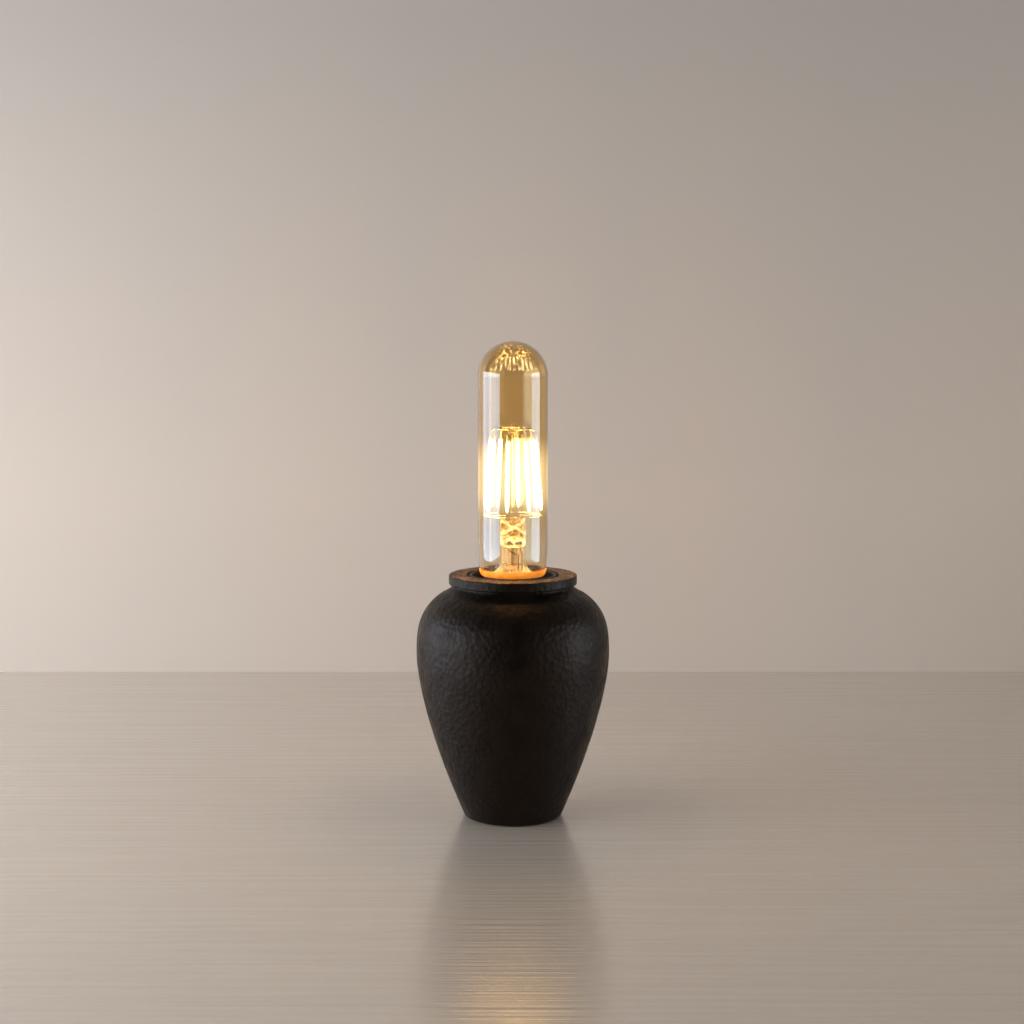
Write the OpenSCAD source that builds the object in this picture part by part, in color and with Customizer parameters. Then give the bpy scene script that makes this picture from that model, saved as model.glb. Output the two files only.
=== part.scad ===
// Bare bulb table lamp. A hollow stoneware jar stands on a felt pad. A threaded tube clamped through
// the jar's floor carries a lampholder, and a tubular filament bulb screws into the lampholder.
// Millimetres. The origin is the middle of the foot on the table, +Z is up, -Y is the front, and the
// cord goes in at the back, +Y.

/* [Jar] */
// Height of the top of the lip above the table
jar_h = 112.6; // [109:0.1:130]
// Radius of the jar at the belly, its widest place
belly_r = 44.4; // [41:0.1:50]
// Height of the belly above the table
belly_z = 76.2; // [70:0.1:80]
// Radius of the foot, where the side meets the table
foot_r = 22.6; // [21.9:0.1:26]
// Lean of the side at the foot, from upright, in degrees
foot_lean = 23.6; // [18:0.1:26]
// How straight the side runs up from the foot before it bends
side_run = 45.3; // [36:0.1:50]
// How far the side keeps upright below the belly
belly_run = 5.5; // [3:0.1:12]
// Fall of the shoulder where it leaves the neck, from level, in degrees
shoulder_fall = 24.3; // [15:0.1:30]
// How straight the shoulder runs out from the neck
shoulder_run = 17.6; // [12:0.1:18]
// How far the side keeps upright above the belly
crown_run = 10.7; // [6:0.1:14]
// Thickness of the jar's side
wall = 4.5; // [3:0.1:6]
// Thickness of the jar's floor
floor_t = 5; // [4:0.1:8]
// Radius of the rounding under the foot
foot_round = 1.5; // [0.5:0.1:2.4]

/* [Lip] */
// Radius of the flat lip
lip_r = 29.4; // [28.4:0.1:33]
// Thickness of the lip
lip_t = 4.5; // [3:0.1:6]
// Depth of the groove under the lip
groove_d = 1.4; // [0.8:0.1:2.5]
// Height of the groove under the lip
groove_h = 1.7; // [1:0.1:3]
// Rounding of the lip's edges
lip_round = 0.7; // [0.2:0.1:1.2]
// Ring gap between the mouth and the lampholder
mouth_gap = 0.85; // [0.5:0.05:1.5]
// Depth of the straight part of the mouth
mouth_h = 12; // [10:0.1:14]

/* [Foot] */
// Radius of the felt pad
pad_r = 19; // [17.5:0.1:19.2]
// Thickness of the felt pad
pad_t = 2; // [1.5:0.1:3]
// How far the pad stands out under the jar
pad_proud = 0.5; // [0.3:0.1:1]
// Width of the ledge that the pad is glued to
pad_ledge = 2.2; // [1.5:0.1:2.6]
// Height of the top of the wiring recess above the table
recess_z = 12; // [11.8:0.1:14]

/* [Cord inlet] */
// Height of the cord hole above the table
inlet_z = 7.4; // [7:0.1:7.8]
// Bore of the bushing, as a radius
inlet_bore_r = 3.2; // [2.5:0.1:3.4]
// Outer radius of the bushing's barrel
inlet_r = 4; // [3.8:0.1:4.3]
// Radius of the bushing's flange
inlet_flange_r = 5.2; // [4.9:0.1:5.4]
// Thickness of the bushing's flange
inlet_flange_t = 1.2; // [0.8:0.1:2]
// Thickness of the jar where the bushing goes through
inlet_wall = 6; // [5:0.1:6.2]
// How far the bushing reaches into the recess
inlet_reach = 1; // [0.6:0.1:2]

/* [Tube and nuts] */
// Outer radius of the threaded tube
tube_r = 5; // [4.9:0.05:5.2]
// Bore of the threaded tube, as a radius
tube_bore_r = 4; // [3.6:0.1:4.1]
// Distance across the flats of the nuts
nut_flats = 14; // [13:0.5:15]
// Thickness of a nut
nut_t = 3; // [2.5:0.1:3.2]
// Radius of the washers
washer_r = 9; // [8.5:0.1:10]
// Thickness of a steel washer
washer_t = 1; // [0.8:0.1:1.2]
// Thickness of a rubber washer
rubber_t = 1; // [0.8:0.1:1.2]
// How far the tube stands out past a nut
tube_tail = 1; // [0.5:0.1:1.2]

/* [Lampholder] */
// Outer radius of the skirt
skirt_r = 20.15; // [19.8:0.05:21]
// Thickness of the skirt at its rim
rim_t = 1.45; // [1.2:0.05:1.8]
// Thickness of the skirt below its shoulder
sleeve_t = 2; // [1.6:0.05:2.2]
// Depth of the shoulder below the rim
well_d = 6.1; // [5:0.1:6.4]
// Thickness of the shoulder inside the skirt
shoulder_t = 2.2; // [1.5:0.1:3]
// Bevel on the rim of the skirt
rim_bevel = 0.5; // [0.2:0.05:0.6]
// Length of the skirt's screwed lap over the cup
skirt_lap = 12; // [8:0.5:13]
// How far the porcelain insert stands above the cup's rim
insert_stand = 4; // [2:0.5:6]
// Wall of the cup
cup_t = 2.4; // [2:0.1:2.6]
// Thickness of the cup's floor
cup_floor_t = 3; // [2.5:0.1:4]
// Depth of the wiring room in the cup
wiring_h = 9; // [8.5:0.1:12]
// Outer rounding of the cup's bottom
cup_round = 8; // [6:0.1:9]
// Radius of the boss under the cup
boss_r = 8; // [7.5:0.1:9]
// Height of the boss under the cup
boss_h = 5; // [4.5:0.1:7]
// Height of the porcelain insert
insert_h = 15; // [13:0.1:18]
// Width of the ledge that the insert sits on
insert_ledge = 2; // [1:0.1:2.4]
// Thickness of the screw shell outside its thread
shell_t = 0.85; // [0.5:0.05:1]
// Thickness of the screw shell's base
shell_base_t = 0.6; // [0.4:0.05:0.8]
// Radius of the hole in the screw shell's base
shell_hole_r = 9.5; // [9.3:0.1:10.5]
// Width of the contact strips
strip_w = 5; // [4:0.1:5.6]
// Thickness of the contact strips
strip_t = 0.5; // [0.3:0.05:0.6]
// Rise of the contact tongue over the insert
tongue_rise = 1; // [0.8:0.05:1.4]
// Length of the sloping part of the tongue
tongue_len = 8; // [6:0.1:9]
// Distance of the terminal screws from the middle
terminal_x = 9.6; // [9.5:0.05:9.8]
// Radius of the terminal screws
terminal_r = 1.4; // [1.2:0.05:1.5]

/* [Bulb cap] */
// Crest radius of the cap's thread
crest_r = 13.1; // [13:0.05:13.25]
// Root radius of the cap's thread
root_r = 12.05; // [12:0.05:12.2]
// Rise of the thread in one turn
pitch = 3.629; // [3.5:0.001:3.8]
// Height of the bulb cap from its contact to the collar
cap_h = 27; // [26:0.1:29]
// Inner radius of the bulb cap
cap_bore_r = 11.2; // [10.8:0.1:11.4]
// Outer radius of the cap's plain upper band
band_r = 13.6; // [13.5:0.05:13.9]
// Thickness of the cap's plain upper band
band_t = 0.9; // [0.5:0.05:1]
// Height of the cap's plain upper band
band_h = 5.7; // [5:0.1:6.4]
// Radius of the tip contact
tip_r = 4.9; // [4:0.1:5.5]
// Thickness of the tip contact
tip_t = 1.2; // [0.8:0.1:1.5]
// Height of the cap's insulator
insulator_h = 3.2; // [2.8:0.1:3.6]

/* [Bulb glass] */
// Radius of the glass tube
glass_r = 16; // [15.6:0.1:19]
// Thickness of the glass
glass_t = 0.9; // [0.6:0.05:1.1]
// Height of the bulb from its collar to the top of the dome
glass_h = 106.8; // [96:0.1:150]
// Radius of the glass where it meets the collar
glass_foot_r = 15.45; // [15.2:0.05:15.6]
// Height over which the glass draws in above the collar
glass_taper_h = 10.3; // [8:0.1:14]
// Height of the collar
collar_h = 3; // [2.5:0.1:4]
// Radius of the collar's lower edge
collar_low_r = 14.1; // [13.8:0.05:14.3]
// Thickness of the collar at its upper edge
collar_t = 0.6; // [0.4:0.05:0.8]
// How far the collar's lower edge lies below the lip
collar_drop = 0.4; // [0:0.1:1]

/* [Bulb inside] */
// Number of filaments, a multiple of 4
filament_n = 8; // [8:4:8]
// Length of a filament with its end tabs
filament_len = 38; // [32:0.1:46]
// Radius of a filament
filament_r = 0.9; // [0.6:0.05:1]
// Length of the metal tab at each end of a filament
tab_len = 2.2; // [1:0.1:2.5]
// Distance of the filaments' tops from the bulb's axis
cage_top_r = 10; // [8:0.1:11]
// Radius of the wire ring that joins the filaments' tops
ring_r = 7.8; // [6:0.1:9]
// Height of the wire ring over the filaments' tops
ring_rise = 1.7; // [1:0.1:2.5]
// Gap between the filaments' lower ends and the glass
cage_gap = 0.9; // [0.5:0.1:1.5]
// Turn of the filaments about the bulb's axis, in degrees
cage_turn = 11; // [0:1:45]
// Radius of the support wires
wire_r = 0.4; // [0.3:0.05:0.5]
// Outer radius of the stem's tube
stem_r = 6; // [5.6:0.1:6.8]
// Height over which the stem's tube flares out above the collar's lower edge
flare_h = 4.8; // [4:0.1:6]
// Height of the stem's press above the collar's lower edge
stem_h = 26.8; // [22:0.1:32]
// Height of the stem's flattened press
press_h = 12; // [9:0.1:13]
// Thickness of the stem's flattened press
press_t = 4; // [3.2:0.1:5]
// Radius of the glass rod up the middle
rod_r = 0.7; // [0.5:0.05:1]
// Radius of the glass bead on top of the rod
bead_r = 1.8; // [1.5:0.1:2.2]
// Radius of the exhaust tube
exhaust_r = 2.2; // [1.9:0.1:2.4]
// Thickness of the driver board
board_t = 1; // [0.8:0.1:1.6]

/* [Wires] */
// Radius of the holder's insulated leads
lead_r = 0.9; // [0.7:0.05:1]
// Radius of the bare wires in the stem
lead_in_r = 0.35; // [0.25:0.05:0.4]
// Radius of the crimp connectors
crimp_r = 2.2; // [2:0.1:2.3]
// Length of the crimp connectors
crimp_l = 12; // [10:0.5:13]

/* [Hidden] */
$fn = 64;

// Clearances
pad_clear = 0.2;      // felt pad in its recess
bushing_clear = 0.1;  // bushing in the jar's hole
spot_clear = 0.6;     // bushing's flange in its spot face
tube_clear = 0.05;    // nuts, washers and boss on the tube
floor_clear = 0.4;    // tube in the hole in the jar's floor
sleeve_clear = 0.1;   // skirt on the cup, and insert in the cup
thread_clear = 0.24;  // bulb cap in the screw shell
shell_clear = 0.4;    // screw shell in the skirt's shoulder
tip_clear = 0.2;      // contact tongue under the bulb's tip
strip_clear = 0.1;    // contact strips and screws in the insert
glue = 0.1;           // cemented joints of the bulb
board_clear = 0.2;    // driver board in the bulb cap
crimp_clear = 0.1;    // crimp connectors over the felt pad
bond = 0.5;           // how far joined pieces of glass or metal run into each other
cut = 0.5;            // how far a cutting shape runs past a face

// Heights of the jar and of what is clamped to its floor
foot_z = pad_proud;
pad_top = pad_t;
floor_z = recess_z + floor_t;
lip_z = jar_h - lip_t;
neck_z = lip_z - groove_h;
neck_r = lip_r - groove_d;
mouth_r = skirt_r + mouth_gap;
mouth_z = jar_h - mouth_h;
recess_r = pad_r + pad_clear - pad_ledge;
spot_y = recess_r + inlet_wall;
clamp_t = rubber_t + washer_t;
lower_nut_z = recess_z - clamp_t - nut_t;
upper_nut_z = floor_z + clamp_t;
tube_z = lower_nut_z - tube_tail;

// Heights of the lampholder, from the bulb down
collar_z = jar_h - collar_drop;
tip_z = collar_z - cap_h;
insert_top = tip_z - tip_clear - tongue_rise;
insert_z = insert_top - insert_h;
cup_top = insert_top - insert_stand;
cup_floor_z = insert_z - wiring_h;
cup_z = cup_floor_z - cup_floor_t;
boss_z = cup_z - boss_h;
locknut_z = boss_z - nut_t;
tube_top = cup_floor_z + tube_tail;
skirt_z = cup_top - skirt_lap;
shoulder_z = jar_h - well_d;
shell_drop = 0.5;     // top of the screw shell under the skirt's shoulder
shell_top = shoulder_z - shell_drop;

// Radii of the lampholder
well_r = skirt_r - rim_t;
sleeve_r = skirt_r - sleeve_t;
cup_r = sleeve_r - sleeve_clear;
insert_r = cup_r - cup_t - sleeve_clear;
room_r = insert_r - insert_ledge;
shell_r = crest_r + thread_clear + shell_t;
terminal_head_r = 2.4;
terminal_head_t = 1.6;
terminal_l = 7;
eyelet_r = 3.2;
eyelet_t = 0.6;
strip_tab = 2.6;      // length of a strip's foot past its screw
tongue_run = 2.4;     // level part of the contact's tongue
foot_strip_z = insert_z - strip_t;
eyelet_z = foot_strip_z - eyelet_t;
live_leg_x = -7.2;
neutral_leg_x = 12;

// Small sizes of the bulb
insulator_seat = 0.8; // how far the insulator reaches up into the cap
cap_cone_h = 1.7;     // drawn-in lower end of the cap
cap_floor_t = 0.8;    // metal under the cap's bore
neck_seat = 1.2;      // neck of the glass over the cap's thread
neck_ledge = 0.2;     // step of the cap's bore under the neck
glass_foot_h = 1;     // straight foot of the glass over the collar
flare_seat = 0.4;     // lower end of the stem's flare over the neck of the glass
carrier_gap = 0.6;    // carriers over the press
board_rise = 8.5;     // driver board over the lower end of the thread
exhaust_gap = 3.5;    // exhaust tube over the driver board
feed_x = 3.2;         // wires through the press from its middle

// Heights and radii of the bulb
insulator_z = tip_z + tip_t;
insulator_top = insulator_z + insulator_h;
insulator_r = root_r - 2.6;
cap_low_z = insulator_top - insulator_seat;
thread_low_z = cap_low_z + cap_cone_h;
thread_high_z = collar_z - band_h;
band_bore_r = band_r - band_t;
glass_neck_r = band_bore_r - glue;
glass_low_z = thread_high_z + neck_seat;
glass_top = collar_z + glass_h;
dome_z = glass_top - glass_r;
collar_top = collar_z + collar_h;
glass_foot_z = collar_top + glass_foot_h;
flare_r = glass_neck_r - glass_t - glue;
flare_low_z = collar_z + flare_seat;
flare_top = collar_z + flare_h;
press_top = collar_z + stem_h;
press_z = press_top - press_h;
stem_bore_r = stem_r - glass_t;
carrier_z = press_top + carrier_gap;
filament_z = carrier_z + wire_r;
cage_low_r = glass_r - glass_t - cage_gap - filament_r;
filament_rise = sqrt(pow(filament_len, 2) - pow(cage_low_r - cage_top_r, 2));
filament_lean = atan((cage_low_r - cage_top_r) / filament_rise);
filament_top_z = filament_z + filament_rise;
bead_z = filament_top_z + wire_r;
ring_z = filament_top_z + ring_rise;
board_r = cap_bore_r - board_clear;
board_z = thread_low_z + board_rise;
board_top = board_z + board_t;
exhaust_z = board_top + exhaust_gap;

// Turns of one filament, counted from 1
function filament_angle(n) = cage_turn + 360 / filament_n * (n - 0.5 - filament_n / 4);

// Points of an arc about a centre, from one angle to another
function arc(centre, r, from, to, steps = 6) =
    [for (i = [0 : steps]) let (a = from + (to - from) * i / steps) centre + r * [cos(a), sin(a)]];

// A curve that leaves its first point towards the second and reaches the fourth from the third
function bend(p, t) =
    pow(1 - t, 3) * p[0] + 3 * pow(1 - t, 2) * t * p[1] + 3 * (1 - t) * t * t * p[2] + pow(t, 3) * p[3];
function bend_heading(p, t) =
    pow(1 - t, 2) * (p[1] - p[0]) + 2 * (1 - t) * t * (p[2] - p[1]) + t * t * (p[3] - p[2]);
function inward(v) = [v[1], -v[0]] / norm(v);
function bend_points(p, inset, steps) =
    [for (i = [0 : steps]) let (t = i / steps) bend(p, t) + inset * inward(bend_heading(p, t))];

// The jar's outline, from the neck over the shoulder to the belly, and from the belly to the foot
shoulder_bend = [
    [neck_r, neck_z],
    [neck_r + shoulder_run * cos(shoulder_fall), neck_z - shoulder_run * sin(shoulder_fall)],
    [belly_r, belly_z + crown_run],
    [belly_r, belly_z]
];
side_bend = [
    [belly_r, belly_z],
    [belly_r, belly_z - belly_run],
    [foot_r + side_run * tan(foot_lean), foot_z + side_run],
    [foot_r, foot_z]
];
foot_tangent = foot_round / tan((90 + foot_lean) / 2);
foot_turn_z = foot_z + foot_tangent * cos(foot_lean);
corner_r = 3;

function above(points, z) = [for (p = points) if (p[1] > z) p];
function last_of(points) = points[len(points) - 1];
function reversed(points) = [for (i = [len(points) - 1 : -1 : 0]) points[i]];

inner_side = above(bend_points(side_bend, wall, 16), floor_z + corner_r);
inner_foot_r = last_of(inner_side)[0];
jar_outline = concat(
    arc([lip_r - lip_round, jar_h - lip_round], lip_round, 90, 0, 3),
    arc([lip_r - lip_round, lip_z + lip_round], lip_round, 0, -90, 3),
    [[neck_r, lip_z]],
    bend_points(shoulder_bend, 0, 14),
    above(bend_points(side_bend, 0, 16), foot_turn_z + cut),
    arc([foot_r - foot_tangent, foot_z + foot_round], foot_round, -foot_lean, -90, 4),
    [
        [pad_r + pad_clear, foot_z],
        [pad_r + pad_clear, pad_top],
        [recess_r, pad_top],
        [recess_r, recess_z],
        [tube_r + floor_clear, recess_z],
        [tube_r + floor_clear, floor_z]
    ],
    arc([inner_foot_r - corner_r, floor_z + corner_r], corner_r, -90, -20, 4),
    reversed(inner_side),
    reversed(bend_points(shoulder_bend, wall, 10)),
    [[mouth_r, mouth_z]],
    arc([mouth_r + lip_round, jar_h - lip_round], lip_round, 180, 90, 3)
);

module ring(outer, inner, h) {
    difference() {
        cylinder(h = h, r = outer);
        translate([0, 0, -cut]) cylinder(h = h + 2 * cut, r = inner);
    }
}

module hex_nut(bore) {
    chamfer = 0.5;
    corner = nut_flats / 2 / cos(30);
    difference() {
        intersection() {
            cylinder(h = nut_t, r = corner, $fn = 6);
            rotate_extrude() polygon([
                [0, 0], [corner - chamfer, 0], [corner, chamfer],
                [corner, nut_t - chamfer], [corner - chamfer, nut_t], [0, nut_t]
            ]);
        }
        translate([0, 0, -cut]) cylinder(h = nut_t + 2 * cut, r = bore);
    }
}

// Faces of a closed tube whose rings all have as many points
function tube_faces(rings, sides) = concat(
    [
        for (i = [0 : rings - 2], k = [0 : sides - 1])
        let (a = i * sides + k, b = i * sides + (k + 1) % sides)
        each [[a, b + sides, b], [a, a + sides, b + sides]]
    ],
    [[for (k = [0 : sides - 1]) k], [for (k = [sides - 1 : -1 : 0]) (rings - 1) * sides + k]]
);

// A right-hand rounded thread: each level is a circle off its axis. Its turn depends on the height
// alone, so two threads in one place mesh.
module rounded_thread(low, high, root, crest) {
    sides = 32;
    levels = ceil((high - low) / pitch * 10);
    swing = (crest - root) / 2;
    points = [
        for (i = [0 : levels], k = [0 : sides - 1])
        let (z = low + (high - low) * i / levels, a = 360 * k / sides)
        let (r = root + swing * (1 + cos(a - 360 * z / pitch)))
        [r * cos(a), r * sin(a), z]
    ];
    polyhedron(points = points, faces = tube_faces(levels + 1, sides));
}

// A round wire along a route of points
skew = [0.31, -0.83, 0.47];
function wire_heading(route, i) =
    let (d = route[min(i + 1, len(route) - 1)] - route[max(i - 1, 0)]) d / norm(d);
function wire_ring(route, i, r, sides) =
    let (d = wire_heading(route, i), s = cross(d, skew), u = s / norm(s), v = cross(d, u))
    [for (k = [0 : sides - 1]) route[i] + r * (cos(360 * k / sides) * u + sin(360 * k / sides) * v)];

module wire(route, r, sides = 8) {
    points = [for (i = [0 : len(route) - 1]) each wire_ring(route, i, r, sides)];
    polyhedron(points = points, faces = tube_faces(len(route), sides));
}

// ---- The base ----

module jar() {
    color([0.13, 0.10, 0.085]) difference() {
        rotate_extrude($fn = 128) polygon(jar_outline);
        translate([0, recess_r - inlet_wall, inlet_z]) rotate([-90, 0, 0])
            cylinder(h = 2 * inlet_wall + cut, r = inlet_r + bushing_clear);
        translate([0, spot_y, inlet_z]) rotate([-90, 0, 0])
            cylinder(h = belly_r - spot_y, r = inlet_flange_r + spot_clear);
    }
}

module foot_pad() {
    color([0.12, 0.12, 0.12]) cylinder(h = pad_t, r = pad_r);
}

module cord_bushing() {
    inner_y = recess_r - inlet_reach;
    barrel_l = spot_y - inner_y;
    length = barrel_l + inlet_flange_t;
    edge = 0.4;
    color([0.06, 0.06, 0.06]) translate([0, inner_y, inlet_z]) rotate([-90, 0, 0]) difference() {
        rotate_extrude() polygon([
            [0, 0], [inlet_r - edge, 0], [inlet_r, edge], [inlet_r, barrel_l],
            [inlet_flange_r, barrel_l], [inlet_flange_r, length - edge], [inlet_flange_r - edge, length],
            [0, length]
        ]);
        translate([0, 0, -cut]) cylinder(h = length + 2 * cut, r = inlet_bore_r);
    }
}

module threaded_tube() {
    edge = 0.5;
    length = tube_top - tube_z;
    color([0.72, 0.62, 0.36]) translate([0, 0, tube_z]) difference() {
        rotate_extrude() polygon([
            [0, 0], [tube_r - edge, 0], [tube_r, edge], [tube_r, length - edge],
            [tube_r - edge, length], [0, length]
        ]);
        translate([0, 0, -cut]) cylinder(h = length + 2 * cut, r = tube_bore_r);
    }
}

module lower_nut() {
    color([0.7, 0.7, 0.72]) translate([0, 0, lower_nut_z]) hex_nut(tube_r + tube_clear);
}

module upper_nut() {
    color([0.7, 0.7, 0.72]) translate([0, 0, upper_nut_z]) hex_nut(tube_r + tube_clear);
}

module steel_washers() {
    color([0.75, 0.75, 0.76]) for (z = [recess_z - clamp_t, floor_z + rubber_t])
        translate([0, 0, z]) ring(washer_r, tube_r + tube_clear, washer_t);
}

module rubber_washers() {
    color([0.08, 0.08, 0.08]) for (z = [recess_z - rubber_t, floor_z])
        translate([0, 0, z]) ring(washer_r, tube_r + tube_clear, rubber_t);
}

// ---- The lampholder ----

module holder_locknut() {
    color([0.7, 0.7, 0.72]) translate([0, 0, locknut_z]) hex_nut(tube_r + tube_clear);
}

grub_r = 1.5;
grub_z = boss_z + boss_h / 2;

module holder_cup() {
    inner_round = 4;
    color([0.05, 0.05, 0.05]) difference() {
        rotate_extrude() polygon(concat(
            [[tube_r + tube_clear, boss_z], [boss_r, boss_z], [boss_r, cup_z]],
            arc([cup_r - cup_round, cup_z + cup_round], cup_round, -90, 0, 6),
            [[cup_r, cup_top], [cup_r - cup_t, cup_top], [cup_r - cup_t, insert_z], [room_r, insert_z]],
            arc([room_r - inner_round, cup_floor_z + inner_round], inner_round, 0, -90, 4),
            [[tube_r + tube_clear, cup_floor_z]]
        ));
        translate([0, 0, grub_z]) rotate([0, 90, 0]) cylinder(h = boss_r + cut, r = grub_r);
    }
}

module grub_screw() {
    socket_r = 0.8;
    socket_d = 1.2;
    length = boss_r - tube_r;
    color([0.3, 0.3, 0.32]) translate([tube_r + tube_clear, 0, grub_z]) rotate([0, 90, 0]) difference() {
        cylinder(h = length, r = grub_r - tube_clear);
        translate([0, 0, length - socket_d]) cylinder(h = socket_d + cut, r = socket_r, $fn = 6);
    }
}

module holder_insert() {
    slot_w = strip_w + 2 * strip_clear;
    slot_t = strip_t + 2 * strip_clear;
    hole_r = terminal_r + strip_clear;
    tab_pocket = 3 * strip_t;
    color([0.93, 0.91, 0.86]) difference() {
        translate([0, 0, insert_z]) cylinder(h = insert_h, r = insert_r);
        for (x = [live_leg_x, neutral_leg_x])
            translate([x - strip_clear, -slot_w / 2, insert_z - cut])
                cube([slot_t, slot_w, insert_h + 2 * cut]);
        for (side = [-1, 1]) translate([side * terminal_x, 0, insert_z - cut])
            cylinder(h = terminal_l + cut, r = hole_r);
        translate([neutral_leg_x - tab_pocket, -slot_w / 2, insert_top - strip_t])
            cube([tab_pocket + slot_t - strip_clear, slot_w, strip_t + cut]);
    }
}

module screw_shell() {
    color([0.80, 0.66, 0.36]) difference() {
        translate([0, 0, insert_top]) cylinder(h = shell_top - insert_top, r = shell_r);
        rounded_thread(
            insert_top + shell_base_t, shell_top + cut, root_r + thread_clear, crest_r + thread_clear
        );
        translate([0, 0, insert_top - cut]) cylinder(h = shell_base_t + 2 * cut, r = shell_hole_r);
    }
}

module strip_foot(from_x, to_x, hole_x) {
    difference() {
        translate([min(from_x, to_x), -strip_w / 2, foot_strip_z])
            cube([abs(to_x - from_x), strip_w, strip_t]);
        translate([hole_x, 0, foot_strip_z - cut])
            cylinder(h = strip_t + 2 * cut, r = terminal_r + strip_clear);
    }
}

module centre_contact() {
    climb = asin((tongue_rise - strip_t) / tongue_len);
    color([0.85, 0.66, 0.34]) {
        translate([live_leg_x, -strip_w / 2, insert_top])
            cube([tongue_run + strip_t, strip_w, strip_t]);
        translate([live_leg_x + tongue_run, -strip_w / 2, insert_top]) rotate([0, -climb, 0])
            cube([tongue_len, strip_w, strip_t]);
        translate([live_leg_x, -strip_w / 2, foot_strip_z])
            cube([strip_t, strip_w, insert_h + 2 * strip_t]);
        strip_foot(live_leg_x + strip_t, -terminal_x - strip_tab, -terminal_x);
    }
}

module neutral_strip() {
    color([0.85, 0.66, 0.34]) {
        translate([neutral_leg_x, -strip_w / 2, foot_strip_z]) cube([strip_t, strip_w, insert_h + strip_t]);
        translate([neutral_leg_x - 2 * strip_t, -strip_w / 2, insert_top - strip_t])
            cube([3 * strip_t, strip_w, strip_t]);
        strip_foot(terminal_x - strip_tab, neutral_leg_x + strip_t, terminal_x);
    }
}

module terminal_screws() {
    slot_w = 0.6;
    slot_d = 0.7;
    head_z = eyelet_z - terminal_head_t;
    color([0.78, 0.72, 0.55]) for (side = [-1, 1]) translate([side * terminal_x, 0, head_z]) difference() {
        union() {
            cylinder(h = terminal_head_t, r = terminal_head_r);
            cylinder(h = terminal_head_t + terminal_l - cut, r = terminal_r);
        }
        translate([-slot_w / 2, -terminal_head_r - cut, -cut])
            cube([slot_w, 2 * (terminal_head_r + cut), slot_d + cut]);
    }
}

module holder_skirt() {
    color([0.04, 0.04, 0.04]) rotate_extrude($fn = 96) polygon([
        [sleeve_r, skirt_z],
        [skirt_r, skirt_z],
        [skirt_r, jar_h - rim_bevel],
        [skirt_r - rim_bevel, jar_h],
        [well_r + rim_bevel / 2, jar_h],
        [well_r, jar_h - rim_bevel],
        [well_r, shoulder_z],
        [shell_r + shell_clear, shoulder_z],
        [shell_r + shell_clear, shoulder_z - shoulder_t],
        [sleeve_r, shoulder_z - shoulder_t]
    ]);
}

// ---- The leads from the lampholder down the tube to the crimps in the foot ----

crimp_x = 11;
crimp_z = pad_top + crimp_r + crimp_clear;
lead_x = 1.8;         // a lead in the tube from its axis
lead_dip = 2.8;       // how far a lead drops under the tube before it turns out
lead_loop = 9;        // how far its loop swings out behind the crimp
eyelet_lap = 0.1;     // how far a lead runs into its eyelet

// Route of one lead, from its eyelet down the tube and round to its crimp; side is -1 for the live
// lead and 1 for the neutral one
function lead_route(side) =
    let (
        start_z = insert_z - lead_r - strip_clear,
        corner = [side * lead_x, 0, start_z],
        top = [[side * (terminal_x - eyelet_r + eyelet_lap), 0, start_z], corner, corner,
            [side * lead_x, 0, tube_top - boss_h]],
        foot = [[side * lead_x, 0, tube_z], [side * lead_x, lead_x / 2, tube_z - lead_dip],
            [side * crimp_x, crimp_l / 2 + lead_loop, crimp_z],
            [side * crimp_x, crimp_l / 2 + crimp_clear, crimp_z]]
    )
    [for (p = [top, foot], i = [0 : 6]) bend(p, i / 6)];

module lead(side) {
    wire(lead_route(side), lead_r);
    translate([side * terminal_x, 0, eyelet_z]) ring(eyelet_r, terminal_r + strip_clear, eyelet_t);
}

module live_lead() {
    color([0.35, 0.18, 0.08]) lead(-1);
}

module neutral_lead() {
    color([0.1, 0.25, 0.6]) lead(1);
}

module crimp_connectors() {
    dome = 1.2;
    color([0.9, 0.88, 0.8]) for (side = [-1, 1])
        translate([side * crimp_x, crimp_l / 2, crimp_z]) rotate([90, 0, 0])
            rotate_extrude() polygon([
                [0, 0], [crimp_r, 0], [crimp_r, crimp_l - dome], [crimp_r - dome, crimp_l], [0, crimp_l]
            ]);
}

// ---- The bulb ----

module tip_contact() {
    dome = 0.4;
    color([0.82, 0.72, 0.5]) rotate_extrude() polygon([
        [0, tip_z], [tip_r - 2 * dome, tip_z], [tip_r, tip_z + dome], [tip_r, insulator_z],
        [0, insulator_z]
    ]);
}

module cap_insulator() {
    bore_r = 1.2;
    margin = 0.8;
    color([0.03, 0.03, 0.05]) rotate_extrude() polygon([
        [bore_r, insulator_z],
        [tip_r + margin, insulator_z],
        [insulator_r, cap_low_z],
        [insulator_r, insulator_top],
        [bore_r, insulator_top]
    ]);
}

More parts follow.
